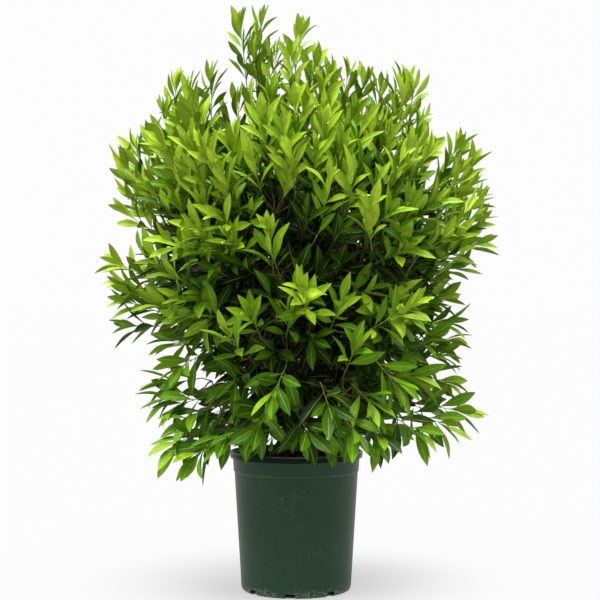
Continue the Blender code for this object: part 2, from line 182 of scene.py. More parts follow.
class Nodes:
    """A node tree that is built up node by node."""

    def __init__(self, tree: NodeTree) -> None:
        """Takes the tree."""
        self.tree = tree

    def feed(self, node: Node, key: str | int, given: object) -> None:
        """Feeds one of a node's sockets.

        Args:
            node: the node.
            key: the socket's name or number.
            given: the value or socket to link to it, or the number or colour to set it to.
        """
        given = given.socket if isinstance(given, Value) else given
        if isinstance(given, NodeSocket):
            self.tree.links.new(given, node.inputs[key])
        else:
            node.inputs[key].default_value = given

    def node(self, kind: str, settings: dict | None = None, inputs: dict | None = None) -> Node:
        """Adds any node.

        Args:
            kind: the node's type.
            settings: its settings by name.
            inputs: the numbers, colours, sockets or values of its sockets, by name or number.

        Returns:
            The new node.
        """
        made = self.tree.nodes.new(kind)
        for name, setting in (settings or {}).items():
            setattr(made, name, setting)
        for key, given in (inputs or {}).items():
            self.feed(made, key, given)
        return made

    def rise(self, value: Value, low: float, high: float, start: float = 0.0, end: float = 1.0) -> Value:
        """Returns a smooth rise with a value: start where it is below low, and end where it is above high."""
        inputs = {"Value": value, "From Min": low, "From Max": high, "To Min": start, "To Max": end}
        made = self.node("ShaderNodeMapRange", {"interpolation_type": "SMOOTHSTEP"}, inputs)
        return Value(self, made.outputs[0])


class Shader(Nodes):
    """A material on the Principled shader, built up node by node in Object coordinates.

    A Mix node's colour sockets go by number, because several of its sockets share each name.
    """

    MIX_SHARE, MIX_LOW, MIX_HIGH, MIX_RESULT = 0, 6, 7, 2

    def __init__(self, name: str, colour: Colour, roughness: float, specular: float = 0.5) -> None:
        """Starts a material with a plain colour and roughness.

        Args:
            name: the material's name.
            colour: its linear base colour.
            roughness: its roughness.
            specular: how strongly it reflects, where 0.5 is common plastic.
        """
        self.material = bpy.data.materials.new(name)
        self.material.use_nodes = True
        self.material.diffuse_color = (*colour, 1)
        super().__init__(self.material.node_tree)
        self.surface = self.tree.nodes["Principled BSDF"]
        plain = {"Base Color": (*colour, 1), "Roughness": roughness, "Specular IOR Level": specular}
        for name, level in plain.items():
            self.feed(self.surface, name, level)
        self.place = self.node("ShaderNodeTexCoord").outputs["Object"]

    def noise(self, scale: float, detail: float, stretch: Sequence[float] = (1, 1, 1)) -> Value:
        """Returns noise from 0 to 1, by its swings a metre, its finer layers and its stretch on each axis."""
        placed = self.node("ShaderNodeMapping", None, {"Vector": self.place, "Scale": stretch})
        inputs = {"Vector": placed.outputs[0], "Scale": scale, "Detail": detail}
        return Value(self, self.node("ShaderNodeTexNoise", None, inputs).outputs["Fac"])

    def height(self, low: float, high: float) -> Value:
        """Returns 0 below the low height, 1 above the high one, and a smooth rise between them."""
        split = self.node("ShaderNodeSeparateXYZ", None, {0: self.place})
        return self.rise(Value(self, split.outputs["Z"]), low, high)

    def mix(self, share: Value, low: Colour | NodeSocket, high: Colour) -> NodeSocket:
        """Returns a colour that goes from low to high with the share."""
        low = low if isinstance(low, NodeSocket) else (*low, 1)
        inputs = {self.MIX_SHARE: share, self.MIX_LOW: low, self.MIX_HIGH: (*high, 1)}
        return self.node("ShaderNodeMix", {"data_type": "RGBA"}, inputs).outputs[self.MIX_RESULT]

    def paint(self, colour: NodeSocket) -> None:
        """Feeds the base colour."""
        self.feed(self.surface, "Base Color", colour)

    def dull(self, roughness: Value) -> None:
        """Feeds the roughness."""
        self.feed(self.surface, "Roughness", roughness)

    def emboss(self, height: Value, depth: float) -> None:
        """Gives the surface a relief, from a height between 0 and 1 and a depth in metres."""
        bump = self.node("ShaderNodeBump", None, {"Height": height, "Distance": depth})
        self.feed(self.surface, "Normal", bump.outputs[0])


@dataclass(frozen=True)
class PotPlastic:
    """Dark green moulded plastic: a painted highlight line, broken into patches, ends its band, and its foot
    is paler and splashed with dust.

    Heights are in metres, those of the line from the band's lower edge, and scales are in swings a metre.
    """

    band_foot: float
    colour: Colour = linear(33, 59, 41)
    foot_colour: Colour = linear(38, 63, 47)
    worn_colour: Colour = linear(130, 142, 128)
    dust_colour: Colour = linear(170, 178, 164)
    foot_heights: Span = (0.02, 0.20)
    line_foot: Span = (-0.0018, -0.0008)
    line_head: Span = (-0.0006, 0.0004)
    line_wear: float = 0.18
    streak_wear: float = 0.035
    streak_stretch: Colour = (1, 1, 0.12)
    splash_heights: Span = (0.004, 0.026)
    dust_share: float = 0.75
    cloud_scale: float = 22
    streak_scale: float = 60
    speck_scale: float = 700
    grain_scale: float = 900
    dent_scale: float = 35
    relief: float = 0.0003
    patch_levels: Span = (0.30, 0.52)
    patch_wear: Span = (0.35, 1.0)
    streak_share: float = 0.6
    streak_levels: Span = (0.52, 0.78)
    low_specks: float = 0.15
    speck_levels: Span = (0.72, 0.77)
    low_splash: float = 0.24
    splash_levels: Span = (0.50, 0.64)
    least_roughness: float = 0.36
    cloud_roughness: float = 0.12
    dust_roughness: float = 0.3

    def material(self) -> Material:
        """Returns the pot's material."""
        made = Shader("pot_plastic", self.colour, roughness=0.42, specular=0.16)
        foot = made.mix(made.height(*self.foot_heights), self.foot_colour, self.colour)
        # Painted highlight: a pale line at the band's lower edge, broken into patches.
        line = made.height(*(self.band_foot + height for height in self.line_foot))
        line = line - made.height(*(self.band_foot + height for height in self.line_head))
        cloud = made.noise(self.cloud_scale, detail=4)
        patches = made.rise(cloud, *self.patch_levels, *self.patch_wear)
        lined = made.mix(line * self.line_wear * patches, foot, self.worn_colour)
        streak = made.noise(self.streak_scale, detail=4, stretch=self.streak_stretch)
        streaks = streak * self.streak_share + cloud * (1 - self.streak_share)
        streaks = made.rise(streaks, *self.streak_levels)
        paled = made.mix(streaks * self.streak_wear, lined, self.dust_colour)
        low = 1.0 - made.height(*self.splash_heights)
        speck = made.rise(made.noise(self.speck_scale, detail=1) + low * self.low_specks, *self.speck_levels)
        speck = speck * made.rise(cloud + low * self.low_splash, *self.splash_levels)
        made.paint(made.mix(speck * self.dust_share, paled, self.dust_colour))
        made.dull(self.least_roughness + cloud * self.cloud_roughness + speck * self.dust_roughness)
        grain = made.noise(self.grain_scale, detail=2) * 0.5
        made.emboss(grain + made.noise(self.dent_scale, detail=3) * 0.5, self.relief)
        return made.material


@dataclass(frozen=True)
class RimPlastic:
    """The rim's shinier plastic, painted darker than the wall as shade, with a painted highlight along its
    lip.

    The lip is given by the height of its top, and the painted highlight by heights from there.
    """

    lip: float
    # Painted shade: darker than the wall's plastic.
    colour: Colour = linear(9, 25, 13)
    worn_colour: Colour = linear(130, 146, 130)
    wear_heights: Span = (-0.0022, -0.0012)
    cloud_scale: float = 16
    grain_scale: float = 900
    relief: float = 0.0002
    patch_levels: Span = (0.36, 0.58)
    patch_wear: Span = (0.08, 0.75)
    least_roughness: float = 0.20
    cloud_roughness: float = 0.10

    def material(self) -> Material:
        """Returns the rim's material."""
        made = Shader("rim_plastic", self.colour, roughness=0.24, specular=0.06)
        cloud = made.noise(self.cloud_scale, detail=4)
        patches = made.rise(cloud, *self.patch_levels, *self.patch_wear)
        # Painted highlight: the lip's top is paler, broken into patches.
        paled = made.height(*(self.lip + height for height in self.wear_heights)) * patches
        made.paint(made.mix(paled, self.colour, self.worn_colour))
        made.dull(self.least_roughness + cloud * self.cloud_roughness)
        made.emboss(made.noise(self.grain_scale, detail=2), self.relief)
        return made.material


@dataclass(frozen=True)
class PottingSoil:
    """Dark moist potting soil, paler where its grains are dry."""

    colour: Colour = linear(34, 26, 19)
    dry_colour: Colour = linear(84, 66, 48)
    dry_share: float = 0.8
    dry_levels: Span = (0.45, 0.75)
    grain_scale: float = 260
    relief: float = 0.003

    def material(self) -> Material:
        """Returns the soil's material."""
        made = Shader("potting_soil", self.colour, roughness=0.95, specular=0.2)
        grain = made.noise(self.grain_scale, detail=6)
        dry = made.rise(grain, *self.dry_levels) * self.dry_share
        made.paint(made.mix(dry, self.colour, self.dry_colour))
        made.emboss(grain, self.relief)
        return made.material


@dataclass(frozen=True)
class Bark:
    """Brown bark with pale lengthwise ridges and green in its youngest parts."""

    furrow_colour: Colour = linear(58, 43, 30)
    ridge_colour: Colour = linear(132, 110, 82)
    green_colour: Colour = linear(92, 98, 48)
    green_heights: Span = (0.55, 0.95)
    green_share: float = 0.6
    ridge_scale: float = 420
    ridge_stretch: Colour = (1, 1, 0.22)
    patch_scale: float = 45
    relief: float = 0.0012
    ridge_share: float = 0.7
    ridge_levels: Span = (0.35, 0.65)
    green_levels: Span = (0.3, 0.6)
    least_roughness: float = 0.72
    ridge_roughness: float = 0.2

    def material(self) -> Material:
        """Returns the bark's material."""
        made = Shader("bark", self.ridge_colour, roughness=0.85, specular=0.2)
        ridge = made.noise(self.ridge_scale, detail=5, stretch=self.ridge_stretch)
        patch = made.noise(self.patch_scale, detail=3)
        ridges = made.rise(ridge * self.ridge_share + patch * (1 - self.ridge_share), *self.ridge_levels)
        brown = made.mix(ridges, self.furrow_colour, self.ridge_colour)
        young = made.height(*self.green_heights) * made.rise(patch, *self.green_levels)
        made.paint(made.mix(young * self.green_share, brown, self.green_colour))
        made.dull(self.least_roughness + ridge * self.ridge_roughness)
        made.emboss(ridge, self.relief)
        return made.material


@dataclass(frozen=True)
class PlainFinish:
    """A finish with one base colour and a faint mottle, for small repeated things."""

    name: str
    colour: Colour
    roughness: float
    mottle: float = 0.10
    mottle_scale: float = 90
    mottle_levels: Span = (0.3, 0.7)
    roughness_sway: float = 0.06
    specular: float = 0.10

    def material(self) -> Material:
        """Returns the finish's material."""
        made = Shader(self.name, self.colour, self.roughness, self.specular)
        cloud = made.noise(self.mottle_scale, detail=2)
        shares = (1 - self.mottle, 1 + self.mottle)
        low, high = (tuple(level * share for level in self.colour) for share in shares)
        made.paint(made.mix(made.rise(cloud, *self.mottle_levels), low, high))
        made.dull(self.roughness - self.roughness_sway + cloud * (2 * self.roughness_sway))
        return made.material


class Tint(Enum):
    """A leaf's upper side's colour, from the palest to the darkest: its age, and painted light and shade."""

    LIME = linear(140, 168, 36)
    BRIGHT = linear(118, 152, 21)
    FRESH = linear(89, 132, 10)
    GREEN = linear(59, 99, 5)
    MATURE = linear(37, 66, 4)
    DEEP = linear(18, 33, 3)


TINTS = tuple(Tint)


class LeafPart(Enum):
    """A part of a leaf with a finish of its own, numbered as its material slot within a tint."""

    UPPER = 0
    UNDER = 1
    RIB = 2


@dataclass(frozen=True)
class LeafFinish:
    """The finishes of one tint: a glossy upper side, a paler dull underside and a pale midrib."""

    tint: Tint
    under_grey: Colour = linear(100, 122, 62)
    rib_pale: Colour = linear(196, 206, 110)
    under_share: float = 0.14
    rib_share: float = 0.34
    roughness: float = 0.36

    def materials(self) -> list[Material]:
        """Returns the materials of the leaf's parts, in the order of their slots."""
        upper = self.tint.value
        looks = {
            LeafPart.UPPER: (upper, 0.0, 0.12),
            LeafPart.UNDER: (self.towards(self.under_grey, self.under_share), 0.22, 0.06),
            LeafPart.RIB: (self.towards(self.rib_pale, self.rib_share), 0.08, 0.05),
        }
        names = {part: f"leaf_{self.tint.name}_{part.name}".lower() for part in LeafPart}
        return [PlainFinish(names[part], colour, self.roughness + duller, mottle).material()
                for part, (colour, duller, mottle) in looks.items()]

    def towards(self, colour: Colour, share: float) -> Colour:
        """Returns the tint, this share of the way towards another colour."""
        return tuple(blend(own, other, share) for own, other in zip(self.tint.value, colour))


def linked(name: str, data: ID) -> Object:
    """Returns a new object in the scene with this mesh, light or camera."""
    made = bpy.data.objects.new(name, data)
    bpy.context.scene.collection.objects.link(made)
    return made


def link_piece(name: str, mesh: Mesh, materials: Sequence[Material],
               nodes: Sequence[str]) -> Object:
    """Makes a finished piece that rides on the plant's body.

    Args:
        name: the piece's name.
        mesh: its mesh, in place.
        materials: its materials, in the order of its slots.
        nodes: the solids that it stands for.

    Returns:
        The piece.
    """
    piece = linked(name, mesh)
    mesh.name = name
    for material in materials:
        mesh.materials.append(material)
    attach(piece, BODY)
    if nodes:
        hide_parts(*nodes)
    LOG.info("%s: %d vertices, %d faces", name, len(mesh.vertices), len(mesh.polygons))
    return piece


def mesh_of(bm: BMesh, name: str) -> Mesh:
    """Returns a smooth-shaded mesh of a bmesh, which is then freed."""
    mesh = bpy.data.meshes.new(name)
    bm.to_mesh(mesh)
    bm.free()
    mesh.shade_smooth()
    return mesh


def tree_of_nodes(names: Sequence[str]) -> BVHTree:
    """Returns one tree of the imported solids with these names."""
    bm = bmesh.new()
    for name in names:
        bm.from_mesh(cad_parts[name].data)
    tree = BVHTree.FromBMesh(bm)
    bm.free()
    return tree


def lathe(section: Sequence[tuple[float, float]], sides: int) -> BMesh:
    """Turns a section round the upright middle line.

    Args:
        section: its (radius, height) points.
        sides: how many sides the turned shape has.

    Returns:
        The turned shape, welded and with its faces outwards.
    """
    bm = bmesh.new()
    verts = [bm.verts.new((radius, 0, height)) for radius, height in section]
    edges = [bm.edges.new(pair) for pair in zip(verts, verts[1:])]
    bmesh.ops.spin(bm, geom=verts + edges, cent=(0, 0, 0), axis=UP, dvec=(0, 0, 0), angle=math.tau,
                   steps=sides, use_merge=True, use_normal_flip=False, use_duplicate=False)
    bmesh.ops.remove_doubles(bm, verts=bm.verts, dist=WELD)
    bmesh.ops.recalc_face_normals(bm, faces=bm.faces)
    return bm


def round_edges(bm: BMesh, edges: list, radius: float, segments: int) -> list[BMVert]:
    """Rounds edges of a shape by this radius in so many segments, and returns the rounding's corners."""
    made = bmesh.ops.bevel(bm, geom=edges, offset=radius, offset_type="OFFSET", segments=segments,
                           profile=0.5, affect="EDGES", material=-1, clamp_overlap=True)
    return made["verts"]


class Copies:
    """One small mesh, joined many times over from arrays."""

    def __init__(self, mesh: Mesh) -> None:
        """Takes the small mesh's corners, edges and faces, and then removes it."""
        self.points = self.read(mesh.vertices, "co", float, 3).reshape(-1, 3)
        self.edges = self.read(mesh.edges, "vertices", int, 2)
        self.loop_points = self.read(mesh.loops, "vertex_index", int)
        self.loop_edges = self.read(mesh.loops, "edge_index", int)
        self.starts = self.read(mesh.polygons, "loop_start", int)
        self.slots = self.read(mesh.polygons, "material_index", int)
        self.sharp_edges = self.read(mesh.edges, "use_edge_sharp", bool)
        bpy.data.meshes.remove(mesh)

    @staticmethod
    def read(items: bpy_prop_collection, name: str, kind: type, width: int = 1) -> np.ndarray:
        """Returns one property of all the items in one row, with this many numbers for each."""
        values = np.empty(len(items) * width, kind)
        items.foreach_get(name, values)
        return values

    def joined(self, name: str, points: np.ndarray, slots: np.ndarray) -> Mesh:
        """Joins the copies into one mesh.

        Args:
            name: the mesh's name.
            points: each copy's points, as copies by points by 3.
            slots: the number that each copy adds to its faces' material slots.

        Returns:
            The joined mesh.
        """
        count, per_copy = points.shape[:2]
        mesh = bpy.data.meshes.new(name)
        loops, edges = len(self.loop_points), len(self.edges) // 2
        mesh.vertices.add(count * per_copy)
        mesh.edges.add(count * edges)
        mesh.loops.add(count * loops)
        mesh.polygons.add(count * len(self.starts))
        mesh.vertices.foreach_set("co", points.ravel())
        step = np.arange(count)[:, None]
        rows = (
            (mesh.edges, "vertices", self.edges, step * per_copy),
            (mesh.loops, "vertex_index", self.loop_points, step * per_copy),
            (mesh.loops, "edge_index", self.loop_edges, step * edges),
            (mesh.polygons, "loop_start", self.starts, step * loops),
            (mesh.polygons, "material_index", self.slots, slots[:, None]),
        )
        for items, name, own, rise in rows:
            items.foreach_set(name, (own[None] + rise).ravel())
        mesh.update()
        mesh.shade_smooth()
        sharp = mesh.attributes.new("sharp_edge", "BOOLEAN", "EDGE")
        sharp.data.foreach_set("value", np.tile(self.sharp_edges, count))
        mesh.validate()
        return mesh


@dataclass
class Pot:
    """The round nursery pot: a rolled rim, a band under it, a tapering wall and a notched foot.

    The picture shows its rim a little higher than the solid's, which is the rim's lift.
    """

    rim_lift: float = 0.008
    height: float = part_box("pot")[1].z + rim_lift
    rim_radius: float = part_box("pot")[1].x
    rim_depth: float = 0.012
    band_depth: float = 0.0255
    band_top_radius: float = 0.121
    band_step: float = 0.0015
    body_top_radius: float = 0.1176
    body_foot_radius: float = 0.1045
    foot_corner: float = 0.008
    corner_steps: int = 4
    wall: float = 0.0024
    floor: float = 0.003
    sides: int = 160
    sharp_angle: float = math.radians(30)
    edge_round: float = 0.0011
    edge_segments: int = 2
    shading_angle: float = math.radians(28)
    notch_count: int = 8
    notch_width: float = 0.0185
    notch_height: float = 0.0095
    notch_depth: float = 0.013
    notch_round: float = 0.002
    notch_segments: int = 3
    front_notch: float = math.radians(263.7)
    pin_hole_radius: float = 0.0016
    pin_hole_height: float = 0.011
    pin_hole_sides: int = 16

    def body_radius(self, height: float) -> float:
        """Returns the outside radius of the plain wall at this height."""
        share = (height - self.foot_corner) / (self.band_foot - self.foot_corner)
        return self.body_foot_radius + share * (self.body_top_radius - self.body_foot_radius)

    @property
    def rim_foot(self) -> float:
        """Returns the height of the rim's lower edge."""
        return self.height - self.rim_depth

    @property
    def band_foot(self) -> float:
        """Returns the height of the band's lower edge."""
        return self.rim_foot - self.band_depth

    def profile(self) -> list[tuple[float, float]]:
        """Returns the (radius, height) points of the wall's section, up the inside and down the outside.

        The roll of the rim is drawn in shares of the wall's thickness.
        """
        corner, wall = self.foot_corner, self.wall
        lower = self.body_radius(corner)
        points = [
            (0, self.floor),
            (lower - wall - 0.4 * corner, self.floor),
            (lower - wall, corner),
            (self.body_top_radius - wall, self.band_foot),
            (self.band_top_radius - wall, self.rim_foot),
            (self.rim_radius - 2 * wall, self.height - 0.6 * wall),
            (self.rim_radius - 1.5 * wall, self.height),
            (self.rim_radius - 0.4 * wall, self.height),
            (self.rim_radius, self.height - 0.7 * wall),
            (self.rim_radius, self.height - 0.45 * self.rim_depth),
            (self.rim_radius - 0.5 * wall, self.rim_foot),
            (self.band_top_radius, self.rim_foot),
            (self.body_top_radius + self.band_step, self.band_foot),
            (self.body_top_radius, self.band_foot - self.band_step),
            (self.body_radius(0.5 * self.height), 0.5 * self.height),
            (lower, corner),
        ]
        for i in range(1, self.corner_steps + 1):
            turn = i / self.corner_steps * math.pi / 2
            points.append((lower - corner * (1 - math.cos(turn)), corner * (1 - math.sin(turn))))
        return points + [(0, 0)]

    def turned(self) -> BMesh:
        """Returns the pot turned from its profile, with round edges and the rim in a slot of its own."""
        bm = lathe(self.profile(), self.sides)
        for face in bm.faces:
            middle = face.calc_center_median()
            on_rim = middle.z > self.rim_foot - self.edge_round and middle.xy.length > self.band_top_radius
            face.material_index = int(on_rim)
        rings = [edge for edge in bm.edges if edge.is_manifold and edge.calc_face_angle() > self.sharp_angle
                 and abs(edge.verts[0].co.z - edge.verts[1].co.z) < WELD]
        round_edges(bm, rings, self.edge_round, self.edge_segments)
        return bm

    def cutter(self) -> BMesh:
        """Returns the drain notches and the pin holes between them as one set of cutting solids."""
        bm = bmesh.new()
        reach = self.body_radius(self.foot_corner)
        size = Vector((2 * self.notch_depth, self.notch_width, 2 * self.notch_height))
        for i in range(self.notch_count):
            azimuth = self.front_notch + i * math.tau / self.notch_count
            notch = bmesh.ops.create_cube(bm, size=1)["verts"]
            edges = {edge for vert in notch for edge in vert.link_edges
                     if abs(edge.verts[0].co.x - edge.verts[1].co.x) > 0.5}
            bmesh.ops.scale(bm, vec=size, verts=notch)
            rounded = round_edges(bm, list(edges), self.notch_round, self.notch_segments)
            notch = list({vert for vert in notch if vert.is_valid} | set(rounded))
            bmesh.ops.translate(bm, vec=(reach, 0, 0), verts=notch)
            bmesh.ops.rotate(bm, matrix=Matrix.Rotation(azimuth, 3, "Z"), verts=notch, cent=(0, 0, 0))
            outward = around(azimuth + math.pi / self.notch_count)
            hole = bmesh.ops.create_cone(bm, cap_ends=True, segments=self.pin_hole_sides, depth=4 * self.wall,
                                         radius1=self.pin_hole_radius, radius2=self.pin_hole_radius)["verts"]
            turn = outward.to_track_quat("Z", "Y").to_matrix()
            bmesh.ops.rotate(bm, matrix=turn, verts=hole, cent=(0, 0, 0))
            centre = outward * (reach + self.wall) + UP * self.pin_hole_height
            bmesh.ops.translate(bm, vec=centre, verts=hole)
        return bm

    def build(self) -> None:
        """Makes the finished pot."""
        plastics = [PotPlastic(self.band_foot).material(), RimPlastic(self.height).material()]
        piece = link_piece("nursery_pot", mesh_of(self.turned(), "nursery_pot"), plastics, ["pot"])
        tool = linked("pot_cutter", mesh_of(self.cutter(), "pot_cutter"))
        cut = piece.modifiers.new("notches", "BOOLEAN")
        cut.operation, cut.solver, cut.object = "DIFFERENCE", "EXACT", tool
        bpy.context.view_layer.update()
        graph = bpy.context.evaluated_depsgraph_get()
        mesh = bpy.data.meshes.new_from_object(piece.evaluated_get(graph))
        piece.modifiers.clear()
        piece.data = mesh
        bpy.data.objects.remove(tool)
        bpy.context.view_layer.update()
        mesh.shade_smooth()
        mesh.set_sharp_from_angle(angle=self.shading_angle)


@dataclass
class Soil:
    """The pot's filling: a mound with clods and white grains on it.

    The mound is heaped a little over the solid's top, and reaches down to just over the drain notches.
    """

    pot: Pot
    heap: float = 0.003
    middle_height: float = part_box("soil")[1].z + heap
    edge_height: float = 0.252
    flat_radius: float = 0.03
    rings: int = 24
    sides: int = 96
    foot_in_notches: float = 1.6
    smooth_edge: float = 0.002
    relief: float = 0.0035
    relief_scale: float = 90
    clod_count: int = 1500
    clod_radius: float = 0.0022
    clod_sizes: Span = (0.4, 1.5)
    clod_squash: tuple[Span, ...] = ((0.6, 1.4), (0.6, 1.2), (0.4, 0.9))
    clod_turn: float = 6
    clod_inset: float = 0.004
    clod_lift: float = 0.0002
    grain_share: float = 0.05
    grain_size: float = 0.6

    def surface_height(self, radius: float) -> float:
        """Returns the mound's height at this distance from the middle."""
        share = (radius - self.flat_radius) / (self.edge_radius - self.flat_radius)
        return blend(self.middle_height, self.edge_height, share)

    @property
    def edge_radius(self) -> float:
        """Returns the radius of the mound's edge, just inside the pot."""
        return self.pot.band_top_radius - self.pot.wall - GAP

    def mound(self) -> Mesh:
        """Returns the closed mound, whose top is rough."""
        foot = self.foot_in_notches * self.pot.notch_height
        lower = self.pot.body_radius(foot) - self.pot.wall - GAP
        radii = [self.edge_radius * i / self.rings for i in range(self.rings + 1)]
        points = [(radius, self.surface_height(radius)) for radius in radii]
        points += [(self.edge_radius, self.pot.rim_foot), (lower, foot), (0, foot)]
        bm = lathe(points, self.sides)
        for vert in bm.verts:
            inside = vert.co.xy.length < self.edge_radius - self.smooth_edge
            if inside and vert.co.z > self.pot.rim_foot + GAP:
                vert.co.z += self.relief * noise.fractal(vert.co * self.relief_scale, 1.0, 2.0, 4)
        return mesh_of(bm, "soil_mound")

    def clods(self) -> Mesh:
        """Returns the clods and grains that lie on the mound."""
        bm = bmesh.new()
        bmesh.ops.create_icosphere(bm, subdivisions=1, radius=1)
        clod = Copies(mesh_of(bm, "clod"))
        chance = random.Random("clods")
        points, slots = [], []
        for _ in range(self.clod_count):
            radius = (self.edge_radius - self.clod_inset) * math.sqrt(chance.random())
            place = around(chance.uniform(0, math.tau)) * radius
            place.z = self.surface_height(radius) + self.clod_lift
            size = self.clod_radius * chance.uniform(*self.clod_sizes)
            white = chance.random() < self.grain_share
            axis = side_way(UP, chance.uniform(0, self.clod_turn))
            turn = np.array(Quaternion(axis, chance.uniform(0, self.clod_turn)).to_matrix())
            squash = np.array([chance.uniform(*span) for span in self.clod_squash])
            size = self.grain_size * size if white else size
            points.append(clod.points * squash @ turn.T * size + np.array(place))
            slots.append(int(white))
        return clod.joined("soil_clods", np.array(points), np.array(slots))

    def build(self) -> None:
        """Makes the mound and what lies on it."""
        earth = PottingSoil().material()
        link_piece("soil_mound", self.mound(), [earth], ["soil"])
        grain = PlainFinish("white_grains", linear(190, 186, 174), roughness=0.9).material()
        link_piece("soil_clods", self.clods(), [earth, grain], [])


@dataclass(frozen=True)
class Tier:
    """A ring of masses and the boughs that carry them, as in the solids."""

    name: str
    count: int
    reach: float
    height: float
    reach_right: float
    height_right: float
    depth: float
    bough_height: float
    tip_sway: float = 0.012
    azimuth_sway: float = math.radians(7)
    side_share: float = 0.99

    def tips(self) -> Iterator[Vector]:
        """Yields the tips of the tier's masses, the first on the right; the two at the sides don't turn."""
        chance = random.Random(self.name)
        for i in range(self.count):
            azimuth = i * math.tau / self.count
            right = math.cos(azimuth)
            if abs(right) < self.side_share:
                azimuth += chance.uniform(-self.azimuth_sway, self.azimuth_sway)
            reach = self.reach + self.reach_right * right
            height = self.height + self.height_right * right + chance.uniform(-self.tip_sway, self.tip_sway)
            yield around(azimuth) * reach + UP * height


@dataclass(frozen=True)
class Mass:
    """A mass of foliage's own facts: where it starts, which way it goes and where its tip is."""

    name: str
    tip: Vector
    axis: Vector
    root: Vector
    seed: Vector
    limb: str

    @property
    def tier(self) -> str:
        """Returns the name of its tier."""
        return self.name.split("_")[1]


@dataclass(frozen=True)
class Bay:
    """A bay in the crown's outside: towards which side in degrees, how high, how wide and how deep."""

    azimuth: float
    height: float
    radius: float
    depth: float


@dataclass
class CrownPlan:
    """The crown's outline and its masses, as in the solids.

    Rows give a height and the reach to the left and right in the outline, a place across and a height in the
    skyline and the hem, and a height and degrees in the shoots' rises.
    """

    foot: float = 0.25
    rise_at_foot: float = -28.0
    rise_per_metre: float = 145.0
    steepest_rise: float = 86.0
    leader_depth: float = 0.32
    seed_share: float = 0.58
    outline: Table = (
        (0.195, 0.21, 0.15), (0.225, 0.25, 0.22), (0.255, 0.27, 0.28), (0.34, 0.28, 0.34),
        (0.42, 0.285, 0.335), (0.50, 0.335, 0.34), (0.57, 0.37, 0.33), (0.63, 0.392, 0.36),
        (0.65, 0.385, 0.394), (0.78, 0.355, 0.385), (0.84, 0.362, 0.36), (0.90, 0.30, 0.27),
        (0.98, 0.26, 0.25), (1.01, 0.25, 0.21), (1.04, 0.24, 0.14), (1.06, 0.14, 0.07),
        (1.13, 0.12, 0.04),
    )
    skyline: Table = (
        (-0.262, 0.935), (-0.247, 0.968), (-0.214, 0.972), (-0.185, 0.950), (-0.166, 0.980), (-0.143, 0.976),
        (-0.137, 0.912), (-0.118, 0.885), (-0.104, 0.860), (-0.100, 1.100), (-0.060, 1.100), (-0.050, 1.070),
        (-0.036, 1.030), (-0.015, 1.058), (0.005, 1.070), (0.018, 1.055), (0.026, 1.015), (0.047, 0.985),
        (0.101, 0.982), (0.110, 0.955), (0.128, 0.972), (0.158, 0.955), (0.178, 0.940), (0.188, 0.980),
        (0.212, 0.980), (0.220, 0.945), (0.240, 0.960), (0.251, 0.900),
    )
    skyline_foot: float = 0.84
    hem: Table = (
        (-0.28, 0.30), (-0.25, 0.235), (-0.16, 0.235), (-0.14, 0.265), (0.06, 0.265), (0.09, 0.25),
        (0.16, 0.26), (0.20, 0.28), (0.32, 0.30),
    )
    hem_head: float = 0.31
    bays: tuple[Bay, ...] = (
        Bay(-75, 0.634, 0.100, 0.11), Bay(-85, 0.725, 0.075, 0.10), Bay(-111, 0.586, 0.080, 0.08),
        Bay(-106, 0.48, 0.05, 0.06), Bay(-87, 0.36, 0.07, 0.06), Bay(180, 0.40, 0.16, 0.09),
        Bay(0, 0.45, 0.15, 0.07), Bay(0, 0.59, 0.06, 0.05), Bay(160, 0.655, 0.06, 0.10),
        Bay(180, 0.655, 0.07, 0.12), Bay(200, 0.655, 0.06, 0.10),
    )
    bay_circle: float = 0.33
    bay_steepness: float = 1.6
    hollow_depth: float = 0.075
    hollow_turn: float = 3.2
    hollow_rise: float = 10.0
    hollow_least: float = 0.25
    hollow_swing: float = 1.6
    shoot_rises: Table = ((0.25, -26), (0.45, -6), (0.60, 14), (0.72, 36), (0.84, 62), (0.96, 82))
    tiers: tuple[Tier, ...] = (
        Tier("skirt", 6, 0.315, 0.300, 0.035, 0.035, 0.240, 0.335),
        Tier("waist", 8, 0.386, 0.640, 0.002, 0.008, 0.260, 0.420),
        Tier("shoulder", 6, 0.342, 0.862, 0.000, 0.003, 0.270, 0.520),
    )
    leader_tips: Table = (
        (0.196, -0.030, 1.000), (0.097, 0.130, 1.035), (-0.150, 0.175, 1.025),
        (-0.077, 0.045, 1.124), (-0.208, -0.050, 0.990), (0.004, -0.055, 1.086),
    )

    def axis(self, point: Vector) -> Vector:
        """Returns the way a mass or twig grows at this point of the crown."""
        rise = self.rise_at_foot + self.rise_per_metre * (point.z - self.foot)
        return rising(level_way(point), math.radians(min(rise, self.steepest_rise)))

    def shoot_way(self, point: Vector) -> Vector:
        """Returns the way a leafy shoot grows at this point of the crown."""
        return rising(level_way(point), math.radians(level_at(self.shoot_rises, point.z)))

    def reach(self, point: Vector) -> float:
        """Returns how far the crown reaches towards this point at its height, or 0 outside its heights."""
        radius = math.hypot(point.x, point.y)
        for (low, *low_reach), (high, *high_reach) in zip(self.outline, self.outline[1:]):
            if low <= point.z <= high:
                share = (point.z - low) / (high - low)
                left, right = (a + share * (b - a) for a, b in zip(low_reach, high_reach))
                turned_right = 0.5 + 0.5 * point.x / max(radius, GAP)
                return left + turned_right * (right - left)
        return 0.0

    def hollow(self, point: Vector) -> float:
        """Returns how far the crown falls back from its outline towards this point."""
        way = level_way(point)
        rough = noise.noise(way * self.hollow_turn + UP * point.z * self.hollow_rise)
        depth = self.hollow_depth * clamp(self.hollow_least + self.hollow_swing * rough)
        for bay in self.bays:
            gap = (way - around(math.radians(bay.azimuth))) * self.bay_circle
            off = math.hypot(gap.length, point.z - bay.height) / bay.radius
            depth = max(depth, bay.depth * clamp(self.bay_steepness * (1.0 - off)))
        return depth

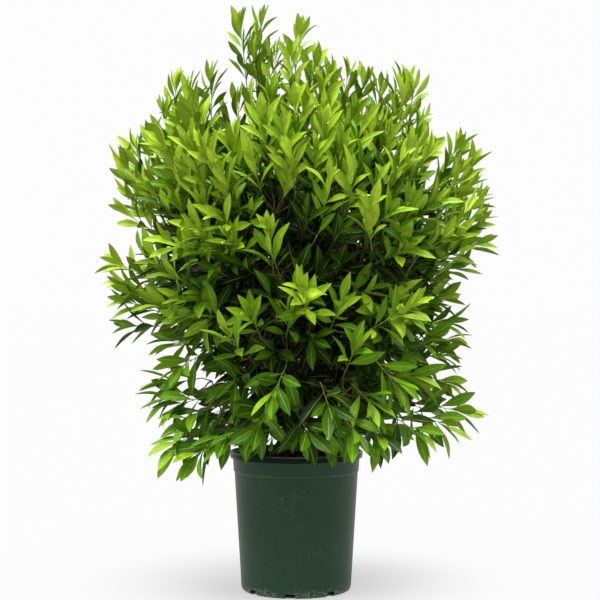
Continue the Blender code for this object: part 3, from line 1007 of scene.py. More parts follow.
    def inside(self, point: Vector, spare: float = 0.0) -> bool:
        """Returns whether a point is inside the outline, by the spare distance, and under the skyline."""
        if math.hypot(point.x, point.y) >= self.reach(point) - spare:
            return False
        return point.z < self.skyline_foot or point.z < level_at(self.skyline, point.x)

    def holds(self, point: Vector) -> bool:
        """Returns whether a point is where leaves grow: inside, over the hem and not in a hollow."""
        if point.z < self.hem_head and point.z < level_at(self.hem, point.x):
            return False
        return self.inside(point, self.hollow(point))

    def mass(self, name: str, tip: Vector, depth: float, limb: str) -> Mass:
        """Returns a mass with this tip."""
        axis = self.axis(tip)
        root = tip - axis * depth
        return Mass(name, tip, axis, root, root.lerp(tip, self.seed_share), limb)

    def masses(self) -> list[Mass]:
        """Returns the leader masses and then those of each tier."""
        made = [self.mass(f"foliage_leader_{i + 1}", Vector(tip), self.leader_depth, f"stem_{i + 1}")
                for i, tip in enumerate(self.leader_tips)]
        for tier in self.tiers:
            made += [self.mass(f"foliage_{tier.name}_{i + 1}", tip, tier.depth, f"bough_{tier.name}_{i + 1}")
                     for i, tip in enumerate(tier.tips())]
        return made


@dataclass(frozen=True)
class LimbKind:
    """How the limbs of one kind are made: their piece, their radii at both ends and their number of points.

    The pull is how strongly a limb keeps the way it sets off, as a share of its length. The limb has twice as
    many sides as its resolution, and four more.
    """

    piece: str
    foot_radius: float
    tip_radius: float
    points: int
    pull: float
    resolution: int


@dataclass
class Limbs:
    """The trunk, its stems and their boughs, with the bark's relief."""

    plan: CrownPlan
    masses: list[Mass]
    foot_height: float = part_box("trunk")[0].z
    trunk_height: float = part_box("trunk")[1].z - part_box("trunk")[0].z
    flare_radius: float = 0.0215
    trunk_top_radius: float = 0.0158
    trunk_rings: int = 14
    trunk_sides: int = 60
    foot_ribs: int = 5
    foot_rib_turn: float = 1.3
    foot_rib_depth: float = 0.06
    fork_rib_depth: float = 0.05
    trunk_relief: float = 0.05
    trunk_grain: Colour = (240, 240, 60)
    stems: LimbKind = LimbKind("bark_stems", 0.0047, 0.0028, 34, 0.38, 4)
    stem_count: int = 6
    stem_ring_radius: float = 0.0108
    stem_sink: float = 0.002
    stem_collar: float = 0.004
    stem_spread: float = 0.5
    boughs: LimbKind = LimbKind("bark_boughs", 0.0032, 0.0024, 16, 0.36, 3)
    bough_opening: float = math.radians(52)
    bough_sink: float = 0.004
    bough_collar: float = 0.007
    bough_stagger: float = 0.022
    limb_end: float = 0.010
    limb_overlap: float = 0.004
    limb_flare: float = 0.35
    limb_flare_fade: float = 16
    knot_size: float = 0.05
    knots_along: float = 26
    relief: float = 0.0007
    relief_sink: float = 0.2
    grain: Colour = (700, 700, 160)

    def bend_to_mass(self, kind: LimbKind, start: Vector, way: Vector, mass: Mass) -> list[Vector]:
        """Returns the points of a limb that comes in straight at a mass's root.

        Args:
            kind: the limb's kind.
            start: where the bend starts.
            way: the way it sets off.
            mass: the mass at its end.
        """
        straight = mass.root - mass.axis * self.limb_end
        pull = kind.pull * (straight - start).length
        bend = interpolate_bezier(start, start + way * pull, straight - mass.axis * pull, straight,
                                  kind.points)
        return [*bend, mass.root + mass.axis * self.limb_overlap]

    def stem_path(self, i: int) -> list[Vector]:
        """Returns the points of a stem, from the trunk's fork to its leader mass."""
        outward = around(i * math.tau / self.stem_count)
        foot = outward * self.stem_ring_radius + UP * (self.foot_height + self.trunk_height - self.stem_sink)
        way = (UP + outward * self.stem_spread).normalized()
        start = foot + UP * (self.stem_collar + self.stem_sink)
        return [foot, *self.bend_to_mass(self.stems, start, way, self.masses[i])]

    def bough_path(self, mass: Mass, stem: Sequence[Vector], height: float) -> list[Vector]:
        """Returns the points of a bough, from inside its stem to its mass.

        Args:
            mass: the mass at the bough's end.
            stem: the points of the stem that it leaves.
            height: the height at which it leaves the stem.
        """
        i = next(k for k in range(len(stem) - 1) if stem[k].z <= height <= stem[k + 1].z)
        share = (height - stem[i].z) / (stem[i + 1].z - stem[i].z)
        centre, tangent = stem[i].lerp(stem[i + 1], share), (stem[i + 1] - stem[i]).normalized()
        outward = mass.root - centre
        side = (outward - tangent * outward.dot(tangent)).normalized()
        along = (i + share) / (len(stem) - 1)
        clear = blend(self.stems.foot_radius, self.stems.tip_radius, along)
        clear += self.boughs.foot_radius * math.cos(self.bough_opening) + GAP
        way = side * math.sin(self.bough_opening) + tangent * math.cos(self.bough_opening)
        start = centre + side * clear
        bend = self.bend_to_mass(self.boughs, start + way * self.bough_collar, way, mass)
        return [start - way * self.bough_sink, *bend]

    def tube(self, kind: LimbKind, name: str, path: Sequence[Vector]) -> BMesh:
        """Returns a tapering limb with the bark's relief.

        Args:
            kind: the limb's kind.
            name: its name, which seeds its relief.
            path: its points.
        """
        curve = bpy.data.curves.new(name, "CURVE")
        curve.dimensions, curve.bevel_depth, curve.bevel_resolution = "3D", 1.0, kind.resolution
        curve.use_fill_caps = True
        spline = curve.splines.new("POLY")
        spline.points.add(len(path) - 1)
        for i, (point, place) in enumerate(zip(spline.points, path)):
            share = i / (len(path) - 1)
            flare = 1 + self.limb_flare * math.exp(-share * self.limb_flare_fade)
            along = Vector((share * self.knots_along, 0, len(name) + ord(name[-1])))
            knot = 1 + self.knot_size * noise.noise(along)
            radius = blend(kind.foot_radius, kind.tip_radius, share)
            point.co, point.radius = (*place, 1), radius * flare * knot
        holder = bpy.data.objects.new(name, curve)
        bm = bmesh.new()
        bm.from_mesh(holder.to_mesh())
        holder.to_mesh_clear()
        bpy.data.objects.remove(holder)
        bpy.data.curves.remove(curve)
        bm.normal_update()
        for vert in bm.verts:
            grain = vert.co * Vector(self.grain)
            vert.co += vert.normal * self.relief * (noise.noise(grain) - self.relief_sink)
        return bm

    def trunk(self) -> BMesh:
        """Returns the trunk, flared and ribbed at its foot, up to its fork."""
        points = [(0, self.foot_height)]
        for i in range(self.trunk_rings + 1):
            share = i / self.trunk_rings
            radius = self.trunk_top_radius + (self.flare_radius - self.trunk_top_radius) * (1 - share) ** 3
            points.append((radius, self.foot_height + share * self.trunk_height))
        top = self.foot_height + self.trunk_height
        bm = lathe([*points, (0, top)], self.trunk_sides)
        for vert in bm.verts:
            share = (top - vert.co.z) / self.trunk_height
            if vert.co.xy.length > GAP and self.foot_height + GAP < vert.co.z < top - GAP:
                azimuth = math.atan2(vert.co.y, vert.co.x)
                rib = self.foot_rib_depth * share * math.cos(self.foot_ribs * azimuth + self.foot_rib_turn)
                rib += self.fork_rib_depth * math.cos(self.stem_count * azimuth) * (1 - share)
                rib += self.trunk_relief * noise.noise(vert.co * Vector(self.trunk_grain))
                vert.co.xy *= 1 + rib
        return bm

    def paths(self) -> tuple[Paths, Paths]:
        """Returns the paths of the stems and of the boughs, by name."""
        stems = {mass.limb: self.stem_path(i) for i, mass in enumerate(self.masses[:self.stem_count])}
        routes = list(stems.values())
        tiers = {tier.name: tier for tier in self.plan.tiers}
        boughs, taken = {}, {}
        for mass in self.masses[self.stem_count:]:
            tier = tiers[mass.tier]
            near = [min(route, key=lambda point: abs(point.z - tier.bough_height)) for route in routes]
            nearest = min(range(self.stem_count), key=lambda k: (near[k] - mass.root).length)
            rank = taken.get((nearest, tier.name), 0)
            taken[(nearest, tier.name)] = rank + 1
            height = tier.bough_height + self.bough_stagger * rank
            boughs[mass.limb] = self.bough_path(mass, routes[nearest], height)
        return stems, boughs

    def build(self) -> Paths:
        """Makes the trunk, stems and boughs as three pieces, and returns the limbs' points by name."""
        bark = Bark().material()
        link_piece("bark_trunk", mesh_of(self.trunk(), "bark_trunk"), [bark], ["trunk"])
        paths = {}
        for kind, routes in zip((self.stems, self.boughs), self.paths()):
            joined = bmesh.new()
            for limb, route in routes.items():
                mesh = mesh_of(self.tube(kind, limb, route), limb)
                joined.from_mesh(mesh)
                bpy.data.meshes.remove(mesh)
            link_piece(kind.piece, mesh_of(joined, kind.piece), [bark], list(routes))
            paths |= routes
        return paths


@dataclass
class Cell:
    """A mass's own space: nearer to its seed than to any other, and within the crown's outline."""

    plan: CrownPlan
    mass: Mass
    masses: list[Mass]
    margin: float = 0.0008
    stride: float = 0.01
    planes: list[tuple[Vector, float]] = field(default_factory=list)

    def __post_init__(self) -> None:
        """Works out the planes halfway to the other masses' seeds."""
        for other in self.masses:
            if other is not self.mass:
                normal = (other.seed - self.mass.seed).normalized()
                middle = (other.seed + self.mass.seed) / 2
                self.planes.append((normal, normal.dot(middle) - self.margin))

    def holds(self, point: Vector, spare: float = 0.0) -> bool:
        """Returns whether a point is in the cell, which the spare distance widens on its inner sides."""
        return self.plan.holds(point) and all(n.dot(point) < limit + spare for n, limit in self.planes)

    def room(self, start: Vector, way: Vector, most: float) -> float:
        """Returns how far one can go from start this way and stay in the cell."""
        gone = 0.0
        while gone < most and self.holds(start + way * (gone + self.stride)):
            gone += self.stride
        return gone


@dataclass
class Twig:
    """A twig or shoot: its points, its radii at both ends and whether it is still green."""

    points: list[Vector]
    foot_radius: float
    tip_radius: float
    green: bool

    @property
    def span(self) -> Vector:
        """Returns the way from its first point to its last."""
        return self.points[-1] - self.points[0]


@dataclass
class Shoot:
    """A leafy shoot: its points, a step apart, its full-grown leaves' length, its light and its freedom.

    Where it is held, its leaves keep to the crown's outline.
    """

    points: list[Vector]
    leaf_length: float
    light: float
    held: bool = True


@dataclass
class Leaf:
    """One leaf: where it starts, its direction and upper side, its length and breadth, its form and tint."""

    root: Vector
    way: Vector
    facing: Vector
    length: float
    breadth: float
    form: int
    tint: int
    tier: str


@dataclass(frozen=True)
class LeafSheet:
    """The flat leaf that all forms are bent from: two layers of faces, joined all round their edge."""

    rows: tuple[float, ...] = (0.0, 0.08, 0.18, 0.32, 0.47, 0.62, 0.76, 0.89, 1.0)
    rib_share: float = 0.07

    def copies(self) -> Copies:
        """Returns the sheet: X across from -1 to 1, Z along from 0 to 1, and Y at -1 in its lower layer."""
        columns = (-1, -self.rib_share, self.rib_share, 1)
        last_row, last_column = len(self.rows) - 1, len(columns) - 1
        bm = bmesh.new()
        bmesh.ops.create_grid(bm, x_segments=last_column, y_segments=last_row, size=1)
        inner = []
        for vert in bm.verts:
            row = round((vert.co.y + 1) / 2 * last_row)
            column = round((vert.co.x + 1) / 2 * last_column)
            across = columns[column] if row < last_row else 0
            vert.co = Vector((across, 0, self.rows[row]))
            if 0 < row < last_row and 0 < column < last_column:
                inner.append(vert)
        for face in bm.faces:
            on_rib = abs(face.calc_center_median().x) < self.rib_share / 2
            face.material_index = (LeafPart.RIB if on_rib else LeafPart.UPPER).value
        bm.normal_update()
        if sum(face.normal.y for face in bm.faces) < 0:
            bmesh.ops.reverse_faces(bm, faces=bm.faces)
        below = bmesh.ops.duplicate(bm, geom=bm.verts[:] + bm.edges[:] + bm.faces[:])
        faces = [item for item in below["geom"] if isinstance(item, BMFace)]
        bmesh.ops.reverse_faces(bm, faces=faces)
        for face in faces:
            face.material_index = max(face.material_index, LeafPart.UNDER.value)
        for vert in inner:
            below["vert_map"][vert].co.y = -1
        bmesh.ops.remove_doubles(bm, verts=bm.verts, dist=WELD)
        lower = {face for face in faces if face.is_valid}
        for edge in bm.edges:
            edge.smooth = len({face in lower for face in edge.link_faces}) == 1
        return Copies(mesh_of(bm, "leaf"))


@dataclass(frozen=True)
class LeafForm:
    """One form of leaf: how far it bends back, folds, twists and waves. Places are shares of its length."""

    bend: float
    fold: float
    twist: float
    wave: float
    breadth: float = 0.285
    blade_start: float = 0.06
    fullness: float = 1.15
    petiole_share: float = 0.10
    petiole_end: float = 0.5
    thickness: float = 0.010
    straight_at: float = 0.32
    spine_steps: int = 12
    waves_along: float = 9
    waves_across: float = 20

    def half_width(self, along: float) -> float:
        """Returns half the blade's width at this share of its length."""
        share = max((along - self.blade_start) / (1 - self.blade_start), 0.0)
        blade = max(math.sin(math.pi * share ** self.fullness), 0.0)
        return self.breadth / 2 * max(blade, self.petiole_share if along < self.petiole_end else 0.0)

    def spine(self, along: float) -> tuple[float, float]:
        """Returns how high and how far along the midrib is at this share of its length."""
        high = far = 0.0
        for i in range(self.spine_steps):
            turn = -self.bend * ((i + 0.5) / self.spine_steps * along - self.straight_at)
            high += math.sin(turn) * along / self.spine_steps
            far += math.cos(turn) * along / self.spine_steps
        return high, far

    def shaped(self, sheet: np.ndarray) -> np.ndarray:
        """Bends the flat sheet into this form.

        Args:
            sheet: the flat sheet's points.

        Returns:
            The points of a leaf a unit long: X across, Y to its upper side, Z along.
        """
        points = []
        for across, layer, along in sheet:
            side = across * self.half_width(along)
            high, far = self.spine(along)
            high += self.fold * abs(side) + layer * self.thickness
            ripple = math.sin(self.waves_along * along + self.waves_across * side)
            high += self.wave * ripple * abs(side) / self.breadth
            turn = self.twist * along
            points.append((side * math.cos(turn), high + side * math.sin(turn), far))
        return np.array(points)


LEAF_FORMS = tuple(
    LeafForm(bend, fold, twist, wave)
    for bend, fold, twist, wave in (
        (0.15, 0.38, 0.08, 0.010), (0.35, 0.32, -0.15, 0.015), (0.55, 0.28, 0.18, 0.010),
        (0.05, 0.44, -0.08, 0.020), (-0.15, 0.40, 0.12, 0.012), (0.75, 0.26, -0.20, 0.012),
        (0.25, 0.36, 0.28, 0.022), (0.45, 0.40, -0.06, 0.010),
    )
)


@dataclass
class Spacing:
    """Keeps things a set distance apart."""

    apart: float
    taken: dict[tuple[int, int, int], list[Vector]] = field(default_factory=dict)

    def corner(self, point: Vector) -> tuple[int, int, int]:
        """Returns the grid cell that a point lies in."""
        return tuple(math.floor(level / self.apart) for level in point)

    def free(self, point: Vector) -> bool:
        """Returns whether nothing is too near to a point."""
        corner = self.corner(point)
        for step in product((-1, 0, 1), repeat=3):
            near = self.taken.get(tuple(a + b for a, b in zip(corner, step)), ())
            if any((other - point).length < self.apart for other in near):
                return False
        return True

    def claim(self, point: Vector) -> bool:
        """Takes a point, unless something is too near; returns whether it was taken."""
        free = self.free(point)
        if free:
            self.taken.setdefault(self.corner(point), []).append(point)
        return free

    def wider(self, apart: float) -> "Spacing":
        """Returns the same things, kept another distance apart."""
        made = Spacing(apart)
        for points in self.taken.values():
            for point in points:
                made.taken.setdefault(made.corner(point), []).append(point)
        return made


@dataclass(frozen=True)
class Spray:
    """A shoot that stands out: where the picture shows its foot and its tip, in pixels across and down.

    Its ends' distances behind the pot's middle are in metres. Its light, which is painted into its leaves'
    tints as light and shade, is 0 in the dark and 1 in full light.
    """

    foot: tuple[int, int]
    tip: tuple[int, int]
    light: float
    back: Span = (0.0, 0.0)

    def ends(self) -> tuple[Vector, Vector]:
        """Returns the places of the foot and the tip."""
        return VIEW.place(*self.foot, self.back[0]), VIEW.place(*self.tip, self.back[1])


SPRAYS = (
    # The spires.
    Spray(foot=(174, 128), tip=(176, 92), light=0.92, back=(-0.02, -0.03)),
    Spray(foot=(190, 140), tip=(190, 93), light=0.97),
    Spray(foot=(211, 128), tip=(212, 84), light=0.96, back=(0.05, 0.05)),
    Spray(foot=(166, 150), tip=(166, 118), light=0.9, back=(-0.04, -0.04)),
    Spray(foot=(247, 88), tip=(241, 30), light=0.88, back=(0.05, 0.05)),
    Spray(foot=(256, 88), tip=(261, 29), light=0.95, back=(0.04, 0.03)),
    Spray(foot=(272, 104), tip=(276, 61), light=0.95),
    Spray(foot=(292, 92), tip=(301, 38), light=1.0, back=(-0.04, -0.04)),
    Spray(foot=(306, 102), tip=(314, 68), light=0.9, back=(-0.06, -0.07)),
    Spray(foot=(322, 122), tip=(328, 81), light=0.95, back=(-0.04, -0.05)),
    Spray(foot=(342, 120), tip=(347, 79), light=0.9, back=(0.05, 0.05)),
    Spray(foot=(356, 122), tip=(362, 86), light=0.85, back=(0.08, 0.08)),
    Spray(foot=(372, 146), tip=(380, 92), light=0.85, back=(0.05, 0.05)),
    Spray(foot=(396, 128), tip=(401, 84), light=0.95),
    Spray(foot=(406, 142), tip=(413, 92), light=0.9, back=(-0.03, -0.03)),
    Spray(foot=(404, 168), tip=(417, 126), light=0.85, back=(-0.04, -0.05)),
    # The right side.
    Spray(foot=(434, 190), tip=(456, 150), light=0.9),
    Spray(foot=(450, 212), tip=(469, 168), light=0.85),
    Spray(foot=(452, 226), tip=(474, 202), light=0.8),
    Spray(foot=(448, 242), tip=(474, 222), light=0.75),
    Spray(foot=(445, 256), tip=(474, 245), light=0.75, back=(-0.02, -0.02)),
    Spray(foot=(430, 276), tip=(452, 268), light=0.65),
    Spray(foot=(408, 306), tip=(440, 300), light=0.75),
    Spray(foot=(404, 326), tip=(442, 322), light=0.66),
    Spray(foot=(404, 342), tip=(444, 340), light=0.7),
    Spray(foot=(404, 356), tip=(436, 356), light=0.7),
    # The left side.
    Spray(foot=(160, 182), tip=(154, 142), light=0.9, back=(-0.02, -0.02)),
    Spray(foot=(148, 192), tip=(138, 152), light=0.9),
    Spray(foot=(142, 200), tip=(127, 166), light=0.85),
    Spray(foot=(152, 226), tip=(133, 196), light=0.8, back=(-0.02, -0.02)),
    Spray(foot=(170, 212), tip=(160, 180), light=0.95, back=(-0.06, -0.08)),
    Spray(foot=(192, 232), tip=(180, 206), light=0.9, back=(-0.12, -0.15)),
    Spray(foot=(166, 284), tip=(122, 266), light=0.95, back=(-0.04, -0.04)),
    Spray(foot=(164, 296), tip=(128, 284), light=0.86),
    Spray(foot=(166, 314), tip=(134, 304), light=0.68),
    Spray(foot=(164, 326), tip=(138, 326), light=0.54, back=(-0.03, -0.03)),
    Spray(foot=(200, 338), tip=(178, 342), light=0.54, back=(-0.03, -0.03)),
    Spray(foot=(202, 378), tip=(172, 383), light=0.6, back=(-0.06, -0.06)),
    Spray(foot=(200, 390), tip=(170, 398), light=0.57, back=(-0.08, -0.09)),
    Spray(foot=(206, 352), tip=(182, 366), light=0.62, back=(-0.12, -0.16)),
    Spray(foot=(212, 424), tip=(180, 442), light=0.59, back=(-0.14, -0.18)),
    Spray(foot=(224, 434), tip=(200, 452), light=0.54, back=(-0.16, -0.2)),
    Spray(foot=(246, 424), tip=(228, 436), light=0.48, back=(-0.2, -0.24)),
    Spray(foot=(216, 404), tip=(190, 418), light=0.54, back=(-0.12, -0.15)),
    Spray(foot=(214, 394), tip=(184, 403), light=0.52, back=(-0.1, -0.12)),
    # Low on the right.
    Spray(foot=(416, 370), tip=(442, 382), light=0.68, back=(-0.02, -0.02)),
    Spray(foot=(412, 402), tip=(454, 410), light=0.7, back=(-0.06, -0.08)),
    Spray(foot=(404, 408), tip=(438, 422), light=0.62, back=(-0.1, -0.14)),
    Spray(foot=(390, 414), tip=(414, 430), light=0.56, back=(-0.16, -0.22)),
    Spray(foot=(368, 414), tip=(376, 434), light=0.4, back=(-0.22, -0.27)),
    # The front.
    Spray(foot=(320, 410), tip=(331, 434), light=0.34, back=(-0.16, -0.2)),
    Spray(foot=(352, 384), tip=(368, 400), light=0.6, back=(-0.23, -0.28)),
    Spray(foot=(330, 330), tip=(340, 306), light=0.8, back=(-0.22, -0.28)),
    Spray(foot=(262, 340), tip=(252, 318), light=0.66, back=(-0.22, -0.28)),
    Spray(foot=(286, 338), tip=(290, 316), light=0.72, back=(-0.2, -0.26)),
    Spray(foot=(274, 276), tip=(270, 238), light=0.92, back=(-0.23, -0.27)),
    Spray(foot=(306, 318), tip=(303, 294), light=0.96, back=(-0.24, -0.32)),
    Spray(foot=(366, 332), tip=(408, 308), light=0.9, back=(-0.23, -0.29)),
    Spray(foot=(243, 360), tip=(232, 338), light=0.72, back=(-0.24, -0.3)),
    Spray(foot=(282, 205), tip=(286, 182), light=1.0, back=(-0.22, -0.25)),
    Spray(foot=(338, 408), tip=(352, 430), light=0.42, back=(-0.24, -0.29)),
    Spray(foot=(352, 205), tip=(350, 180), light=0.95, back=(-0.2, -0.23)),
    Spray(foot=(372, 250), tip=(368, 222), light=0.85, back=(-0.24, -0.27)),
    Spray(foot=(404, 232), tip=(408, 206), light=0.85, back=(-0.2, -0.23)),
    Spray(foot=(212, 236), tip=(204, 208), light=0.85, back=(-0.2, -0.23)),
    Spray(foot=(198, 212), tip=(190, 178), light=0.95, back=(-0.16, -0.18)),
    Spray(foot=(238, 176), tip=(236, 142), light=0.95, back=(-0.12, -0.14)),
    Spray(foot=(322, 160), tip=(324, 130), light=0.95, back=(-0.18, -0.2)),
    Spray(foot=(376, 172), tip=(384, 140), light=0.95, back=(-0.12, -0.14)),
    Spray(foot=(374, 358), tip=(392, 380), light=0.64, back=(-0.23, -0.27)),
    Spray(foot=(320, 382), tip=(328, 404), light=0.4, back=(-0.24, -0.3)),
    Spray(foot=(286, 366), tip=(276, 388), light=0.48, back=(-0.24, -0.3)),
    Spray(foot=(344, 374), tip=(354, 352), light=0.66, back=(-0.24, -0.29)),
    Spray(foot=(280, 150), tip=(282, 118), light=1.0, back=(-0.08, -0.09)),
    Spray(foot=(300, 132), tip=(303, 106), light=1.0, back=(-0.12, -0.12)),
    Spray(foot=(272, 408), tip=(258, 426), light=0.38, back=(-0.22, -0.27)),
    Spray(foot=(296, 410), tip=(306, 430), light=0.3, back=(-0.23, -0.28)),
    Spray(foot=(238, 130), tip=(239, 106), light=0.85, back=(0.02, 0.02)),
)


@dataclass(frozen=True)
class Fill:
    """A layer of shoots that closes the crown where the twigs left room."""

    name: str
    tries: int
    inset: float
    apart: float
    heights: Span


@dataclass(frozen=True)
class TwigHabit:
    """How a mass's stem and twigs stand, as in the solids. Spans go from its lowest twig to its highest."""

    solid_leaf: float = 0.135
    solid_leaf_root: float = 0.003
    every: float = 0.062
    places: Span = (0.15, 0.70)
    openings: Span = (math.radians(80), math.radians(46))
    turn_sway: float = 0.3
    lift: float = 0.25
    length: float = 0.115
    least: float = 0.045
    most: float = 0.3
    clear_of_stem: float = 0.012
    points: int = 4
    sides: int = 5
    pull: float = 0.36
    stem_radius: float = 0.0026
    radius: float = 0.0018


@dataclass(frozen=True)
class ShootHabit:
    """How leafy shoots stand and grow. Their row of openings is in degrees, from a twig's tip down.

    Marks are shares of a shoot's length, and the table says how often a shoot is left out, by height.
    """

    radius: float = 0.0011
    tip_radius: float = 0.0005
    marks: tuple[float, ...] = (0.0, 0.34, 0.67, 1.0)
    openings: tuple[float, ...] = (0, 28, 36, 42, 48, 52, 56, 60, 62, 64)
    spacing: float = 0.0150
    clear_of_fork: float = 0.006
    step: float = 0.008
    bend: float = 0.20
    least: float = 0.024
    lengths: Span = (0.065, 0.115)
    cell_overlap: float = 0.022
    unfelt: float = 0.01
    inner_every: float = 0.020
    inner_start: float = 0.06
    inner_opening: float = math.radians(62)
    inner_clearance: float = 0.004
    sparse: Table = ((0.42, 0.47), (0.58, 0.0))
    light_sway: float = 0.09


@dataclass(frozen=True)
class LeafHabit:
    """How leaves sit on a shoot, and how they differ.

    Rows of ten go from the shoot's tip down, angles there are in degrees, and tables go by height in metres.
    The opening is scaled by one number on level shoots and by less on upright ones. The darkest shade is just
    under 1, so that it falls in the last tint.
    """

    lengths: Table = ((0.25, 0.083), (0.45, 0.073), (0.70, 0.063), (1.0, 0.061))
    length_sway: Span = (0.90, 1.12)
    in_sprays: float = 0.95
    openings: tuple[int, ...] = (12, 20, 26, 31, 35, 39, 43, 46, 49, 52)
    opening_sway: float = 6
    level_opening: float = 1.20
    upright_less: float = 0.42
    upright_from: float = 0.2
    upright_over: float = 0.6
    sizes: tuple[float, ...] = (0.70, 0.80, 0.88, 0.96, 1.02, 1.04, 1.02, 0.98, 0.94, 0.90)
    size_sway: Span = (0.9, 1.1)
    old_shares: Span = (0.3, 1.0)
    ages: tuple[float, ...] = (-0.08, -0.08, -0.05, -0.02, 0.02, 0.06, 0.10, 0.14, 0.19, 0.24)
    light_sway: float = 0.08
    darkest: float = 0.999
    steps: Span = (0.0100, 0.0072)
    most: int = 18
    tip_leaves: int = 2
    bare_points: float = 2.2
    droop: Table = ((0.22, 0.26), (0.40, 0.14), (0.58, 0.0))
    room: float = 0.75
    lit_at: float = 0.8
    middle: float = 0.6
    clear_of_shoot: float = 0.004
    breadth_sway: Span = (0.88, 1.12)
    young_breadth: float = 0.86
    size_to_breadth: float = 0.2
    facing_out: float = 0.7
    facing_up: float = 0.55
    facing_along: float = 0.4
    facing_sway: float = 0.45
    young_from: float = 0.30
    young_over: float = 0.40

    def young(self, place: Vector) -> float:
        """Returns how young the growth is here, from 0 low in the crown to 1 in its upper half."""
        return clamp((place.z - self.young_from) / self.young_over)

    def length_at(self, height: float) -> float:
        """Returns the length of full-grown leaves at this height."""
        return level_at(self.lengths, height)


@dataclass(frozen=True)
class Daylight:
    """How much light a place in the crown gets, painted into the leaves' tints as light and shade: more high
    up, most on the outside, and more on both sides.

    The levels are rows of a height, the light inside and the light outside. Upwards, the light that the sides
    get on top falls to a share of itself.
    """

    plan: CrownPlan
    shade_depth: float = 0.16
    stride: float = 0.01
    levels: Table = (
        (0.25, 0.05, 0.46), (0.45, 0.00, 0.56), (0.60, 0.02, 0.76), (0.75, 0.24, 0.97),
        (0.90, 0.44, 1.03), (1.10, 0.66, 1.05),
    )
    side_light: float = 0.22
    side_share_above: float = 0.75
    side_fade_from: float = 0.45
    side_fade_over: float = 0.25

    def at(self, point: Vector) -> float:
        """Returns how much light a place gets: 0 in the dark and 1 in full light."""
        way, depth = self.plan.shoot_way(point), 0.0
        while depth < self.shade_depth and self.plan.inside(point + way * depth):
            depth += self.stride
        outer = 1.0 - depth / self.shade_depth
        heights, inside, outside = zip(*self.levels)
        low = float(np.interp(point.z, heights, inside))
        high = float(np.interp(point.z, heights, outside))
        share = blend(1, self.side_share_above, (point.z - self.side_fade_from) / self.side_fade_over)
        aside = self.side_light * abs(point.x) / self.plan.reach(point) * share
        return low + (high + aside - low) * outer


